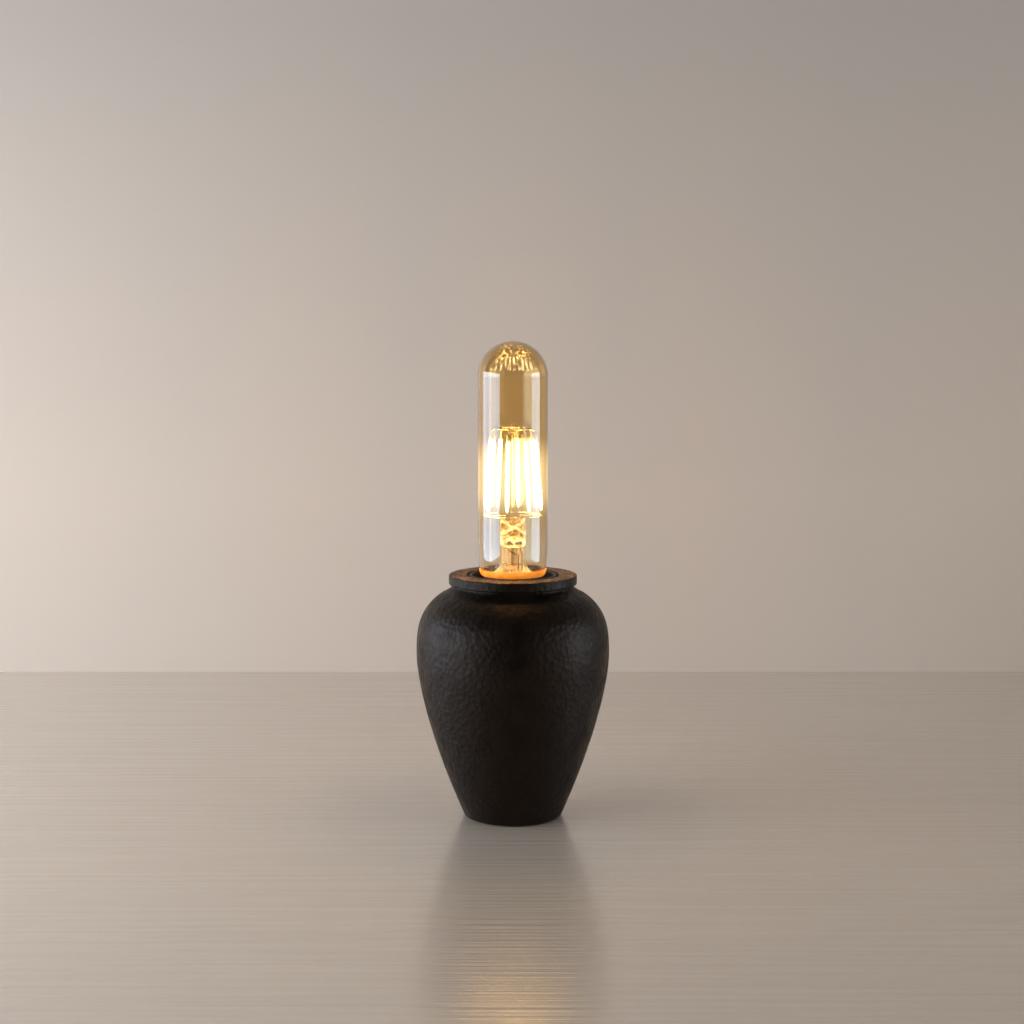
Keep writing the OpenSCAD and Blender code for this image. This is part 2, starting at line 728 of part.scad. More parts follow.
module bulb_cap() {
    low_bore_r = insulator_r + glue;
    low_bore_z = cap_low_z + cap_floor_t;
    bore_z = low_bore_z + cap_bore_r - low_bore_r;
    cone_r = root_r - 0.3;
    shoulder_h = 1.4;
    color([0.80, 0.68, 0.42]) difference() {
        union() {
            rounded_thread(thread_low_z, thread_high_z, root_r, crest_r);
            rotate_extrude() polygon([
                [0, cap_low_z],
                [low_bore_r + cap_floor_t, cap_low_z],
                [cone_r, thread_low_z - bond],
                [cone_r, thread_low_z + bond],
                [0, thread_low_z + bond]
            ]);
            rotate_extrude() polygon([
                [0, thread_high_z - shoulder_h / 2],
                [cone_r, thread_high_z - shoulder_h / 2],
                [band_r, thread_high_z + shoulder_h / 2],
                [band_r, collar_z],
                [0, collar_z]
            ]);
        }
        rotate_extrude() polygon([
            [0, cap_low_z - cut],
            [low_bore_r, cap_low_z - cut],
            [low_bore_r, low_bore_z],
            [cap_bore_r, bore_z],
            [cap_bore_r, glass_low_z - neck_ledge],
            [band_bore_r, glass_low_z - neck_ledge],
            [band_bore_r, collar_z + cut],
            [0, collar_z + cut]
        ]);
    }
}

// The collar's bore widens a little at its lower edge before it follows the glass
collar_flare = 0.5;
collar_flare_h = 0.8;

// The glass outline at a depth below its surface, from the top of the dome to the neck
function glass_line(depth) = concat(
    arc([0, dome_z], glass_r - depth, 90, 0, 14),
    [for (i = [1 : 5]) let (s = i / 5)
        [glass_r - (glass_r - glass_foot_r) * s * s - depth, glass_foot_z + glass_taper_h * (1 - s)]],
    [
        [glass_foot_r - collar_t - 2 * glue - depth, collar_top],
        [glass_neck_r + collar_flare - glue - depth, collar_z + collar_flare_h],
        [glass_neck_r - depth, collar_z],
        [glass_neck_r - depth, glass_low_z]
    ]
);

module bulb_glass() {
    color([1, 0.82, 0.5, 0.35]) rotate_extrude($fn = 96)
        polygon(concat(glass_line(0), reversed(glass_line(glass_t))));
}

module bulb_collar() {
    color([1, 0.55, 0.15]) rotate_extrude($fn = 96) polygon([
        [collar_low_r, collar_z],
        [glass_foot_r, collar_top],
        [glass_foot_r - collar_t, collar_top],
        [glass_neck_r + collar_flare, collar_z + collar_flare_h],
        [glass_neck_r + glue, collar_z]
    ]);
}

module stem() {
    bell = 0.8;
    turn = 1;
    color([1, 0.9, 0.7, 0.4]) difference() {
        union() {
            rotate_extrude() polygon([
                [flare_r, glass_low_z],
                [flare_r, flare_low_z + glass_t],
                [stem_r + turn, flare_top - bell],
                [stem_r, flare_top + turn],
                [stem_r, press_z],
                [stem_bore_r, press_z],
                [stem_bore_r, flare_top + turn],
                [stem_bore_r + bell, flare_top - bell - bond],
                [flare_r - glass_t, flare_low_z],
                [flare_r - glass_t, glass_low_z]
            ]);
            rotate(cage_turn) hull() {
                translate([0, 0, press_z - bond])
                    cylinder(h = 2 * bond, r = stem_r - glass_t / 3, $fn = 32);
                translate([-stem_r, -press_t / 2, press_z + press_h / 3])
                    cube([2 * stem_r, press_t, press_h * 2 / 3]);
            }
        }
        rotate(cage_turn) for (side = [-1, 1]) translate([side * feed_x, 0, press_z - 4 * cut])
            cylinder(h = press_h + 8 * cut, r = wire_r);
        translate([0, 0, press_top - rod_seat]) cylinder(h = rod_seat + cut, r = rod_r);
    }
}

module exhaust_tube() {
    exhaust_t = 0.8;
    color([1, 0.95, 0.85, 0.4]) translate([0, 0, exhaust_z])
        ring(exhaust_r, exhaust_r - exhaust_t, press_z - bond - exhaust_z);
}

// The arms are thinner than the wires that they carry, and reach into the bead
arm_r = 0.75 * wire_r;
arm_start = 1;
rod_seat = 3;
weld = 0.03;          // how far a hook's end stands off the filament's tab

// A straight wire between two points, each given as a distance from the axis and a height
module spoke(from, to) {
    way = to - from;
    translate([from[0], 0, from[1]]) rotate([0, atan2(way[0], way[1]), 0])
        cylinder(h = norm(way), r = arm_r, $fn = 32);
}

module ring_arms() {
    arm_n = filament_n / 2;
    for (k = [1 : arm_n]) rotate(filament_angle(2 * k - 0.5))
        spoke([arm_start, bead_z], [ring_r, ring_z]);
}

// A hook goes down and out from the ring to each filament's upper tab
module ring_hooks() {
    foot = [cage_top_r, filament_top_z + arm_r + weld];
    for (n = [1 : filament_n]) rotate(filament_angle(n)) {
        spoke(foot, [ring_r, ring_z]);
        translate([foot[0], 0, foot[1]]) sphere(r = arm_r, $fn = 32);
    }
}

module support_rod() {
    color([1, 0.85, 0.55, 0.6]) difference() {
        union() {
            translate([0, 0, press_top - rod_seat])
                cylinder(h = bead_z - press_top + rod_seat, r = rod_r);
            translate([0, 0, bead_z]) sphere(r = bead_r);
        }
        ring_arms();
    }
}

// The wire ring joins all the filaments' tops, so that each half of them carries the other's current
module top_ring() {
    color([0.75, 0.7, 0.6]) {
        translate([0, 0, ring_z]) rotate_extrude()
            translate([ring_r, 0]) circle(r = wire_r, $fn = 32);
        ring_arms();
        ring_hooks();
    }
}

module filament(n) {
    lit = filament_len - 2 * tab_len;
    tab_r = 0.8 * wire_r;
    color([1, 0.85, 0.35]) rotate(filament_angle(n)) translate([cage_low_r, 0, filament_z])
        rotate([0, -filament_lean, 0]) {
            cylinder(h = filament_len, r = tab_r, $fn = 16);
            translate([0, 0, tab_len]) cylinder(h = lit, r = filament_r, $fn = 24);
        }
}

// One of the two wires that carry the filaments' lower ends and come up through the press
module carrier(side) {
    step = 360 / filament_n;
    span = step * (filament_n / 2 - 1);
    color([0.75, 0.7, 0.6]) rotate(cage_turn + (side > 0 ? 0 : 180)) {
        rotate(-span / 2) translate([0, 0, carrier_z]) rotate_extrude(angle = span)
            translate([cage_low_r, 0]) circle(r = wire_r, $fn = 32);
        translate([feed_x, 0, carrier_z]) rotate([0, 90, 0])
            cylinder(h = cage_low_r - feed_x, r = arm_r, $fn = 32);
        translate([feed_x, 0, press_z + bond])
            cylinder(h = carrier_z + wire_r - press_z - bond, r = wire_r, $fn = 32);
    }
}

module live_carrier() {
    carrier(1);
}

module return_carrier() {
    carrier(-1);
}

// Bare wires from the press down the stem's tube to the driver board; one bows round the front of
// the exhaust tube to come down beside the other
near_wire = [2.4, -3.4];
far_wire = [4.1, -1];
near_pad = [0, -5.6];
far_pad = [5, -3.6];
wire_drop = 5;        // height over which a wire moves from the press to its place
wire_bow = 4.5;       // how far the bowed wire swings out to the front

function feed_point(side) = side * feed_x * [cos(cage_turn), sin(cage_turn)];
function at(point, z) = [point[0], point[1], z];

// Route of one wire: from is its place in the press, place is where it runs down the stem
function lead_in_route(from, bows, place, pad) =
    let (
        high = press_z - 2 * bond,
        low = press_z - wire_drop,
        swing = [at(from, high), at(bows[0], high), at(bows[1], low), at(place, low)]
    )
    concat(
        [at(from, press_z + bond)],
        [for (i = [0 : 5]) bend(swing, i / 5)],
        [at(place, flare_low_z), at(pad, board_top + glue)]
    );

module lead_in_wires() {
    right = feed_point(1);
    left = feed_point(-1);
    color([0.35, 0.25, 0.2]) {
        wire(lead_in_route(right, [right, far_wire], far_wire, far_pad), lead_in_r, 6);
        bows = [[left[0], -wire_bow], [0, -wire_bow]];
        wire(lead_in_route(left, bows, near_wire, near_pad), lead_in_r, 6);
    }
}

module driver_board() {
    hole_r = 0.6;
    color([0.85, 0.85, 0.8]) translate([0, 0, board_z]) ring(board_r, hole_r, board_t);
}

module capacitor() {
    r = 2.5;
    h = 5;
    groove = 0.25;
    groove_z = 1.1;
    edge = 0.4;
    color([0.1, 0.1, 0.12]) translate([-6, 1, board_top]) rotate_extrude() polygon([
        [0, 0], [r, 0], [r, groove_z - groove], [r - groove, groove_z], [r, groove_z + groove],
        [r, h - edge], [r - edge, h], [0, h]
    ]);
}

module rectifier() {
    color([0.12, 0.12, 0.12]) translate([1.5, 4.5, board_top]) cube([5, 4, 2.2]);
}

module driver_chip() {
    color([0.1, 0.1, 0.1]) translate([-4.6, -8, board_top]) cube([4, 3.4, 1.5]);
}

module fuse_resistor() {
    body_r = 1.2;
    body_l = 6;
    body_gap = 1;
    lead_z = insulator_z + glue;
    color([0.3, 0.5, 0.35]) {
        translate([0, 0, board_z - body_gap - body_l]) cylinder(h = body_l, r = body_r);
        translate([0, 0, lead_z]) cylinder(h = board_top - lead_z, r = lead_in_r, $fn = 32);
    }
}

// Bare wire from the board to the inside of the threaded cap
module return_wire() {
    pad_x = 8.4;
    rise = 2.7;
    wall_x = cap_bore_r - lead_in_r - glue;
    color([0.6, 0.6, 0.62]) wire([
        [pad_x, 0, board_top], [pad_x, 0, board_top + rise / 3], [(pad_x + wall_x) / 2, 0, board_top + rise],
        [wall_x, 0, board_top + rise * 4 / 3], [wall_x, 0, board_top + 2 * rise]
    ], lead_in_r, 6);
}

jar();
foot_pad();
cord_bushing();
threaded_tube();
lower_nut();
upper_nut();
steel_washers();
rubber_washers();
holder_locknut();
holder_cup();
grub_screw();
holder_insert();
screw_shell();
centre_contact();
neutral_strip();
terminal_screws();
holder_skirt();
live_lead();
neutral_lead();
crimp_connectors();
cap_insulator();
tip_contact();
bulb_cap();
bulb_collar();
bulb_glass();
stem();
exhaust_tube();
support_rod();
top_ring();
filament(1);  // filament_1
filament(2);  // filament_2
filament(3);  // filament_3
filament(4);  // filament_4
filament(5);  // filament_5
filament(6);  // filament_6
filament(7);  // filament_7
filament(8);  // filament_8
live_carrier();
return_carrier();
lead_in_wires();
driver_board();
capacitor();
rectifier();
driver_chip();
fuse_resistor();
return_wire();
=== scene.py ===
from math import atan, cos, pi, radians, sin, sqrt, tan, tau

import bpy
import bmesh
from mathutils import Matrix, Vector, noise


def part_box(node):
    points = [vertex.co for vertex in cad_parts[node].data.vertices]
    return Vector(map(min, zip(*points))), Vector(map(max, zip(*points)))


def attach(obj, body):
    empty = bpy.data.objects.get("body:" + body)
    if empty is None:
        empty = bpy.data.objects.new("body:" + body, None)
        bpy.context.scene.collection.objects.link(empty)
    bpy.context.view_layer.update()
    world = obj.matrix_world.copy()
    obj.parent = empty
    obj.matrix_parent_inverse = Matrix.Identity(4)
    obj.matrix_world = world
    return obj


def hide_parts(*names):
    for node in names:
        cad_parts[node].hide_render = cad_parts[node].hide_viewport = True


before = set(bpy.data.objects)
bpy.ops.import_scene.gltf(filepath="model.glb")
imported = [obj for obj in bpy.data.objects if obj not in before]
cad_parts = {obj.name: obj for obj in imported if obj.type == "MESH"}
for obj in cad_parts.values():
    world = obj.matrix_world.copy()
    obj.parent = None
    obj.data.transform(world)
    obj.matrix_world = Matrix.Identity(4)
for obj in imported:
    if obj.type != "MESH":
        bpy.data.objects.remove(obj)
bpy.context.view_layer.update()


# ---- Camera, studio light, table and wall ----
# The lamp stands on a pale table, close to a plain wall, and is seen from a little above its bulb.
# Tall lamps at its sides show only as reflections. Two fill lamps and the world light matt surfaces.
scene = bpy.context.scene
scene.view_settings.view_transform = "Standard"
camera_tilt = 6.01


def place(obj):
    scene.collection.objects.link(obj)
    return obj


camera = place(bpy.data.objects.new("camera", bpy.data.cameras.new("camera")))
camera.data.sensor_width = 36
camera.data.lens = 59.8
camera.location = (-0.0004, -0.773, 0.2226)
camera.rotation_euler = (radians(90 - camera_tilt), 0, 0)
scene.camera = camera


def new_material(name):
    """An empty material, and its node tree."""
    material = bpy.data.materials.new(name)
    material.use_nodes = True
    tree = material.node_tree
    tree.nodes.clear()
    return material, tree


def add(tree, kind, settings=None, **sockets):
    """A node of that kind. A socket is set to a value, or linked if it is given another socket."""
    made = tree.nodes.new("ShaderNode" + kind)
    for name, value in (settings or {}).items():
        setattr(made, name, value)
    for name, value in sockets.items():
        socket = made.inputs[int(name[1:])] if name[0] == "_" else made.inputs[name.replace("_", " ")]
        if isinstance(value, bpy.types.NodeSocket):
            tree.links.new(value, socket)
        else:
            socket.default_value = value
    return made


def joined(tree, kind, *values):
    """A value worked out from others, such as their product or the larger of two."""
    sockets = {f"_{n}": value for n, value in enumerate(values)}
    return add(tree, "Math", {"operation": kind}, **sockets).outputs[0]


def ranged(tree, value, low, high, to_low=0.0, to_high=1.0):
    """A value stretched evenly from one range to another, and held within the second."""
    return add(tree, "MapRange", _0=value, _1=low, _2=high, _3=to_low, _4=to_high).outputs[0]


def eased(tree, value, low, high, to_high=1.0):
    """A value that rises softly from 0 at one end of a range to its full height at the other."""
    smooth = {"interpolation_type": "SMOOTHSTEP"}
    return add(tree, "MapRange", smooth, _0=value, _1=low, _2=high, _4=to_high).outputs[0]


def rgba(colour):
    return (*colour, 1)


def mixed(tree, share, *colours):
    """A share of the second colour over the first."""
    first, second = (c if isinstance(c, bpy.types.NodeSocket) else rgba(c) for c in colours)
    return add(tree, "Mix", {"data_type": "RGBA"}, _0=share, _6=first, _7=second).outputs[2]


def finish_material(tree, shader):
    add(tree, "OutputMaterial", Surface=shader)


def object_point(tree):
    return add(tree, "TexCoord").outputs["Object"]


def height_on(tree):
    return add(tree, "SeparateXYZ", _0=object_point(tree)).outputs["Z"]


def softbox(name, azimuth, height, distance, width, tall, radiance, colour, mirrored=True):
    """A rectangular lamp that faces the bulb; azimuth is counted from the front, to the right. A mirrored
    one shows only as a reflection, never through glass, and the others only light matt surfaces."""
    light = place(bpy.data.objects.new(name, bpy.data.lights.new(name, "AREA")))
    light.data.shape = "RECTANGLE"
    light.data.size = width
    light.data.size_y = tall
    light.data.energy = 4 * radiance * width * tall
    light.data.color = colour
    light.visible_camera = False
    light.visible_diffuse = not mirrored
    light.visible_glossy = mirrored
    light.visible_transmission = mirrored
    if mirrored:
        light.data.use_nodes = True
        tree = light.data.node_tree
        tree.nodes.clear()
        path = add(tree, "LightPath").outputs
        bounced = joined(tree, "GREATER_THAN", path["Glossy Depth"], 0.5)
        not_through = joined(tree, "SUBTRACT", 1.0, path["Is Transmission Ray"])
        shown = joined(tree, "MAXIMUM", bounced, not_through)
        add(tree, "OutputLight", Surface=add(tree, "Emission", Strength=shown).outputs[0])
    turn = radians(azimuth)
    away = Vector((sin(turn), -cos(turn), 0))
    light.location = distance * away + Vector((0, 0, height))
    light.rotation_euler = away.to_track_quat("Z", "Y").to_euler()


mirrored_h, mirrored_tall = 0.15, 0.27
for name, azimuth, distance, width, radiance, colour in (
    ("left_softbox", -78, 0.45, 0.62, 2.6, (0.80, 0.98, 1.32)),
    ("left_edge_strip", -79, 0.44, 0.02, 2.4, (0.88, 0.98, 1.10)),
    ("right_softbox", 81, 0.45, 0.29, 2.2, (0.84, 0.98, 1.26)),
    ("right_dim_softbox", 47, 0.45, 0.24, 0.7, (0.95, 0.97, 0.95)),
):
    softbox(name, azimuth, mirrored_h, distance, width, mirrored_tall, radiance, colour)
softbox("left_fill", -72, 0.22, 0.85, 0.9, 0.4, 5.1, (1.0, 0.99, 0.98), mirrored=False)
softbox("right_fill", 80, 0.40, 0.95, 0.6, 0.7, 1.0, (1.0, 0.95, 0.88), mirrored=False)

table_material, tree = new_material("pale_table")
along_grain = add(tree, "Mapping", _0=object_point(tree), Scale=(7, 300, 1)).outputs[0]
grain = add(tree, "TexNoise", Vector=along_grain, Scale=1.0, Detail=4, Roughness=0.6).outputs[0]
ridges = ranged(tree, grain, 0.35, 0.65)
tone = mixed(tree, ridges, (0.605, 0.553, 0.497), (0.655, 0.60, 0.54))
relief = add(tree, "Bump", Strength=0.35, Distance=0.0005, Height=ridges).outputs[0]
varnish = add(
    tree, "BsdfPrincipled", Base_Color=tone, Roughness=0.24, IOR=1.75, Coat_Weight=0.8, Coat_Roughness=0.17,
    Normal=relief,
)
finish_material(tree, varnish.outputs[0])

# The wall is painted darker and cooler higher up, as painted shade where the light falls off. From behind,
# the wall is see-through.
wall_material, tree = new_material("plain_wall")
painted_light_rise = ranged(tree, height_on(tree), 0.12, 0.42)
shade = mixed(tree, painted_light_rise, (0.69, 0.625, 0.57), (0.53, 0.505, 0.488))
paint = add(tree, "BsdfPrincipled", Base_Color=shade, Roughness=0.9).outputs[0]
from_behind = add(tree, "NewGeometry").outputs["Backfacing"]
nothing = add(tree, "BsdfTransparent").outputs[0]
finish_material(tree, add(tree, "MixShader", _0=from_behind, _1=paint, _2=nothing).outputs[0])


def staged_plane(name, corners, material):
    mesh = bpy.data.meshes.new(name)
    mesh.from_pydata(corners, [], [[0, 1, 2, 3]])
    mesh.materials.append(material)
    place(bpy.data.objects.new(name, mesh))


reach, wall_y, wall_top = 3.0, 0.333, 2.2
staged_plane(
    "table",
    [(-reach, -reach, 0), (reach, -reach, 0), (reach, reach, 0), (-reach, reach, 0)],
    table_material,
)
staged_plane(
    "wall",
    [(-reach, wall_y, 0), (reach, wall_y, 0), (reach, wall_y, wall_top), (-reach, wall_y, wall_top)],
    wall_material,
)

# The room is pale where it is seen, and low behind the lamp. Elsewhere it is dark, with a soft fill.
room_fill = 0.53
world = bpy.data.worlds.new("studio")
scene.world = world
world.use_nodes = True
tree = world.node_tree
tree.nodes.clear()
path = add(tree, "LightPath").outputs
seen = joined(tree, "MAXIMUM", path["Is Camera Ray"], path["Is Transmission Ray"])
way = add(tree, "SeparateXYZ", _0=add(tree, "TexCoord").outputs["Generated"]).outputs
behind_lamp = ranged(tree, way["Y"], -0.25, 0.5)
low_down = ranged(tree, way["Z"], 0.75, 0.2)
pale_part = joined(tree, "MULTIPLY", behind_lamp, low_down)
fill = joined(tree, "MULTIPLY", path["Is Diffuse Ray"], room_fill)
pale_part = joined(tree, "MAXIMUM", pale_part, seen)
pale_part = joined(tree, "MAXIMUM", pale_part, fill)
air = mixed(tree, pale_part, (0.05, 0.05, 0.052), (0.50, 0.45, 0.41))
add(tree, "OutputWorld", Surface=add(tree, "Background", Color=air).outputs[0])


# ---- Jar ----
# A thrown stoneware jar with a satin, waxed iron glaze: a round belly on a narrow foot, a groove under a flat
# lip. The lip's top was wiped, so its grain shows; its bright golden specks are painted glints of the bulb's
# light.
def point_on(bend, t):
    a, b, c, d = (Vector(p) for p in bend)
    return tuple((1 - t) ** 3 * a + 3 * (1 - t) ** 2 * t * b + 3 * (1 - t) * t * t * c + t ** 3 * d)


def curve(bend, steps):
    return [point_on(bend, i / steps) for i in range(steps + 1)]


def line(start, end, steps):
    return [tuple(Vector(start).lerp(Vector(end), i / steps)) for i in range(steps + 1)]


def arc(centre, radius, first, last, steps):
    turns = [radians(first + (last - first) * i / steps) for i in range(steps + 1)]
    return [(centre[0] + radius * cos(a), centre[1] + radius * sin(a)) for a in turns]


def lathe(name, profile, segments, pitch=1.0):
    """Turns a closed profile of (radius, height) round the axis. A third number in a point is how far
    a right-hand thread of that pitch swings the radius."""
    vertices, rings, faces = [], [], []
    for radius, height, *swing in profile:
        count = segments if radius > 1e-7 else 1
        rings.append([len(vertices) + k for k in range(count)])
        for k in range(count):
            a = tau * k / segments
            r = radius + (swing[0] * cos(a - tau * height / pitch) if swing else 0)
            vertices.append((r * cos(a), r * sin(a), height))
    for low, high in zip(rings, rings[1:] + rings[:1]):
        for k in range(segments):
            m = k + 1
            corners = [low[k % len(low)], low[m % len(low)], high[m % len(high)], high[k % len(high)]]
            face = list(dict.fromkeys(corners))
            if len(face) > 2:
                faces.append(face)
    mesh = bpy.data.meshes.new(name)
    mesh.from_pydata(vertices, [], faces)
    piece = place(bpy.data.objects.new(name, mesh))
    tidy_mesh(piece)
    return piece


def tidy_mesh(piece, sharp=35):
    """Turns the faces outward, and smooths all but the sharp edges."""
    made = bmesh.new()
    made.from_mesh(piece.data)
    bmesh.ops.remove_doubles(made, verts=made.verts, dist=1e-7)
    bmesh.ops.recalc_face_normals(made, faces=made.faces)
    made.to_mesh(piece.data)
    made.free()
    piece.data.polygons.foreach_set("use_smooth", [True] * len(piece.data.polygons))
    piece.data.set_sharp_from_angle(angle=radians(sharp))


def dress(piece, material, slot, body, *nodes):
    """Gives a new piece its material and body, and hides the CAD nodes that it stands for. Its slot is not
    used.
    """
    piece.data.materials.clear()
    piece.data.materials.append(material)
    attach(piece, body)
    if nodes:
        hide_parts(*nodes)


jar_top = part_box("jar")[1].z
lip_r, lip_t, lip_round, groove_r, groove_h = 0.0294, 0.0045, 0.0007, 0.0280, 0.0017
mouth_r, mouth_h = 0.0210, 0.012
belly_r, belly_z, above_belly, below_belly = 0.0444, 0.0762, 0.0107, 0.0055
foot_r, foot_z, foot_round, foot_lean_deg = 0.0226, 0.0005, 0.0015, 23.6
foot_lean, side_run, shoulder_fall, shoulder_run = radians(foot_lean_deg), 0.0453, radians(24.3), 0.0176
lip_under = jar_top - lip_t
neck_z = lip_under - groove_h
shoulder = [
    (groove_r, neck_z),
    (groove_r + shoulder_run * cos(shoulder_fall), neck_z - shoulder_run * sin(shoulder_fall)),
    (belly_r, belly_z + above_belly),
    (belly_r, belly_z),
]
side = [
    (belly_r, belly_z),
    (belly_r, belly_z - below_belly),
    (foot_r + side_run * tan(foot_lean), foot_z + side_run),
    (foot_r, foot_z),
]

# The groove under the lip runs into the shoulder in a small hollow fillet.
undercut, neck_drop, neck_run = 0.0004, 0.0016, 0.0026
shoulder_points = curve(shoulder, 52)
join_r, join_z = shoulder_points[6]
neck = [
    (groove_r - undercut, lip_under),
    (groove_r - undercut, lip_under - neck_drop),
    (join_r - neck_run * cos(shoulder_fall), join_z + neck_run * sin(shoulder_fall)),
    (join_r, join_z),
]
foot_tangent = foot_round / tan((pi / 2 + foot_lean) / 2)
foot_turn_z = foot_z + foot_tangent * cos(foot_lean)
outside = (
    arc((lip_r - lip_round, jar_top - lip_round), lip_round, 90, 0, 4)
    + line((lip_r, jar_top - lip_round), (lip_r, lip_under + lip_round), 5)[1:-1]
    + arc((lip_r - lip_round, lip_under + lip_round), lip_round, 0, -90, 4)
    + curve(neck, 12)
    + shoulder_points[7:]
    + [p for p in curve(side, 146)[1:] if p[1] > foot_turn_z + 0.0003]
    + arc((foot_r - foot_tangent, foot_z + foot_round), foot_round, -foot_lean_deg, -90, 5)
)
pad_well_r, pad_top, recess_r, recess_z, floor_z, hole_r = 0.0192, 0.002, 0.017, 0.012, 0.017, 0.0054
inside = [
    (pad_well_r, foot_z), (pad_well_r, pad_top), (recess_r, pad_top), (recess_r, recess_z),
    (hole_r, recess_z), (hole_r, floor_z), (0.0245, floor_z), (0.029, 0.0205), (0.0352, 0.043),
    (0.0395, 0.066), (0.0398, 0.078), (0.0375, 0.090), (0.032, 0.097), (0.0262, 0.1004),
    (mouth_r, jar_top - mouth_h),
]
lip_top = arc((mouth_r + lip_round, jar_top - lip_round), lip_round, 180, 90, 3) + line(
    (mouth_r + lip_round, jar_top), (lip_r - lip_round, jar_top), 22
)[1:-1]
jar = lathe("jar_body", outside + inside + lip_top, 448)

# The glaze is dimpled like waxed leather, and the potter's hands left a slow unevenness under it.
dimple_depth, sway_depth, grit_depth = 0.00006, 0.0001, 0.00003
lump_size, pit_size, cell_size, sway_size, grit_size = 0.0019, 0.0011, 0.0027, 0.019, 0.00085
lip_skin, edge_gap = 0.0003, 0.0002
normals = [n.vector.copy() for n in jar.data.vertex_normals]
for vertex, normal in zip(jar.data.vertices, normals):
    radius = vertex.co.xy.length
    if radius < mouth_r + edge_gap or vertex.co.z < foot_z + edge_gap:
        continue
    on_top = vertex.co.z > jar_top - lip_skin
    if normal.xy.dot(vertex.co.xy) < 0 and not on_top:
        continue
    if on_top:
        dip = grit_depth * abs(noise.noise(vertex.co / grit_size)) * 1.6
    else:
        lump = noise.noise(vertex.co / lump_size) * 0.65 + noise.noise(vertex.co / pit_size) * 0.35
        cell = min(1, noise.voronoi(vertex.co / cell_size)[0][0])
        slow = noise.noise(vertex.co / sway_size + Vector((3, 1, 7)))
        share = 0.4 if vertex.co.z > lip_under - 0.0001 else 1
        dip = share * (dimple_depth * (0.35 + 0.5 * lump + 0.4 * cell) + sway_depth * (0.5 + 0.5 * slow))
    vertex.co -= normal * max(0, dip)

inlet_z, inlet_hole_r, inlet_from, inlet_to = 0.0074, 0.0041, 0.011, 0.04
spot_r, spot_from, spot_to = 0.0058, 0.023, 0.05


def drill(piece, radius, start, end):
    """Cuts a round hole along Y through a piece, at the height of the cord inlet."""
    bit = bpy.data.meshes.new("bit")
    made = bmesh.new()
    bmesh.ops.create_cone(
        made, cap_ends=True, segments=64, radius1=radius, radius2=radius, depth=end - start,
        matrix=Matrix.Translation((0, (start + end) / 2, inlet_z)) @ Matrix.Rotation(pi / 2, 4, "X"),
    )
    made.to_mesh(bit)
    made.free()
    tool = place(bpy.data.objects.new("bit", bit))
    cut = piece.modifiers.new("cut", "BOOLEAN")
    cut.operation = "DIFFERENCE"
    cut.solver = "MANIFOLD"
    cut.object = tool
    bpy.context.view_layer.update()
    shaped = piece.evaluated_get(bpy.context.evaluated_depsgraph_get())
    old = piece.data
    piece.data = bpy.data.meshes.new_from_object(shaped)
    piece.modifiers.clear()
    bpy.data.meshes.remove(old)
    bpy.data.objects.remove(tool)


drill(jar, inlet_hole_r, inlet_from, inlet_to)
drill(jar, spot_r, spot_from, spot_to)
tidy_mesh(jar, 40)


def group(name, inputs, outputs):
    """A node group with named sockets, for an effect that several materials use."""
    made = bpy.data.node_groups.new(name, "ShaderNodeTree")
    for socket, kind, value in inputs:
        given = made.interface.new_socket(socket, in_out="INPUT", socket_type="NodeSocket" + kind)
        given.default_value = value
    for socket, kind in outputs:
        made.interface.new_socket(socket, in_out="OUTPUT", socket_type="NodeSocket" + kind)
    return made, made.nodes.new("NodeGroupInput").outputs, made.nodes.new("NodeGroupOutput").inputs


mottle_group, given, put = group(
    "mottle",
    [
        ("Dark", "Color", (0, 0, 0, 1)), ("Light", "Color", (1, 1, 1, 1)),
        ("Scale", "Float", 100.0), ("Contrast", "Float", 1.0),
    ],
    [("Color", "Color")],
)
point = object_point(mottle_group)
cloud = add(mottle_group, "TexNoise", Vector=point, Scale=given["Scale"], Detail=5, Roughness=0.62)
spread = joined(mottle_group, "SUBTRACT", cloud.outputs[0], 0.5)
spread = joined(mottle_group, "MULTIPLY", spread, given["Contrast"])
spread = add(mottle_group, "Math", {"operation": "ADD", "use_clamp": True}, _0=spread, _1=0.5).outputs[0]
mottle_group.links.new(mixed(mottle_group, spread, given["Dark"], given["Light"]), put["Color"])

grain_group, given, put = group(
    "grain",
    [("Scale", "Float", 1000.0), ("Smooth", "Float", 0.3), ("Rough", "Float", 0.5)],
    [("Height", "Float"), ("Roughness", "Float")],
)
point = object_point(grain_group)
fine = add(grain_group, "TexNoise", Vector=point, Scale=given["Scale"], Detail=2).outputs[0]
broad_scale = joined(grain_group, "MULTIPLY", given["Scale"], 0.12)
broad = add(grain_group, "TexNoise", Vector=point, Scale=broad_scale, Detail=3).outputs[0]
gloss = ranged(grain_group, broad, 0.3, 0.7, given["Smooth"], given["Rough"])
grain_group.links.new(joined(grain_group, "MULTIPLY_ADD", broad, 0.4, fine), put["Height"])
grain_group.links.new(gloss, put["Roughness"])


def use(tree, tree_group, **sockets):
    return add(tree, "Group", {"node_tree": tree_group}, **sockets).outputs


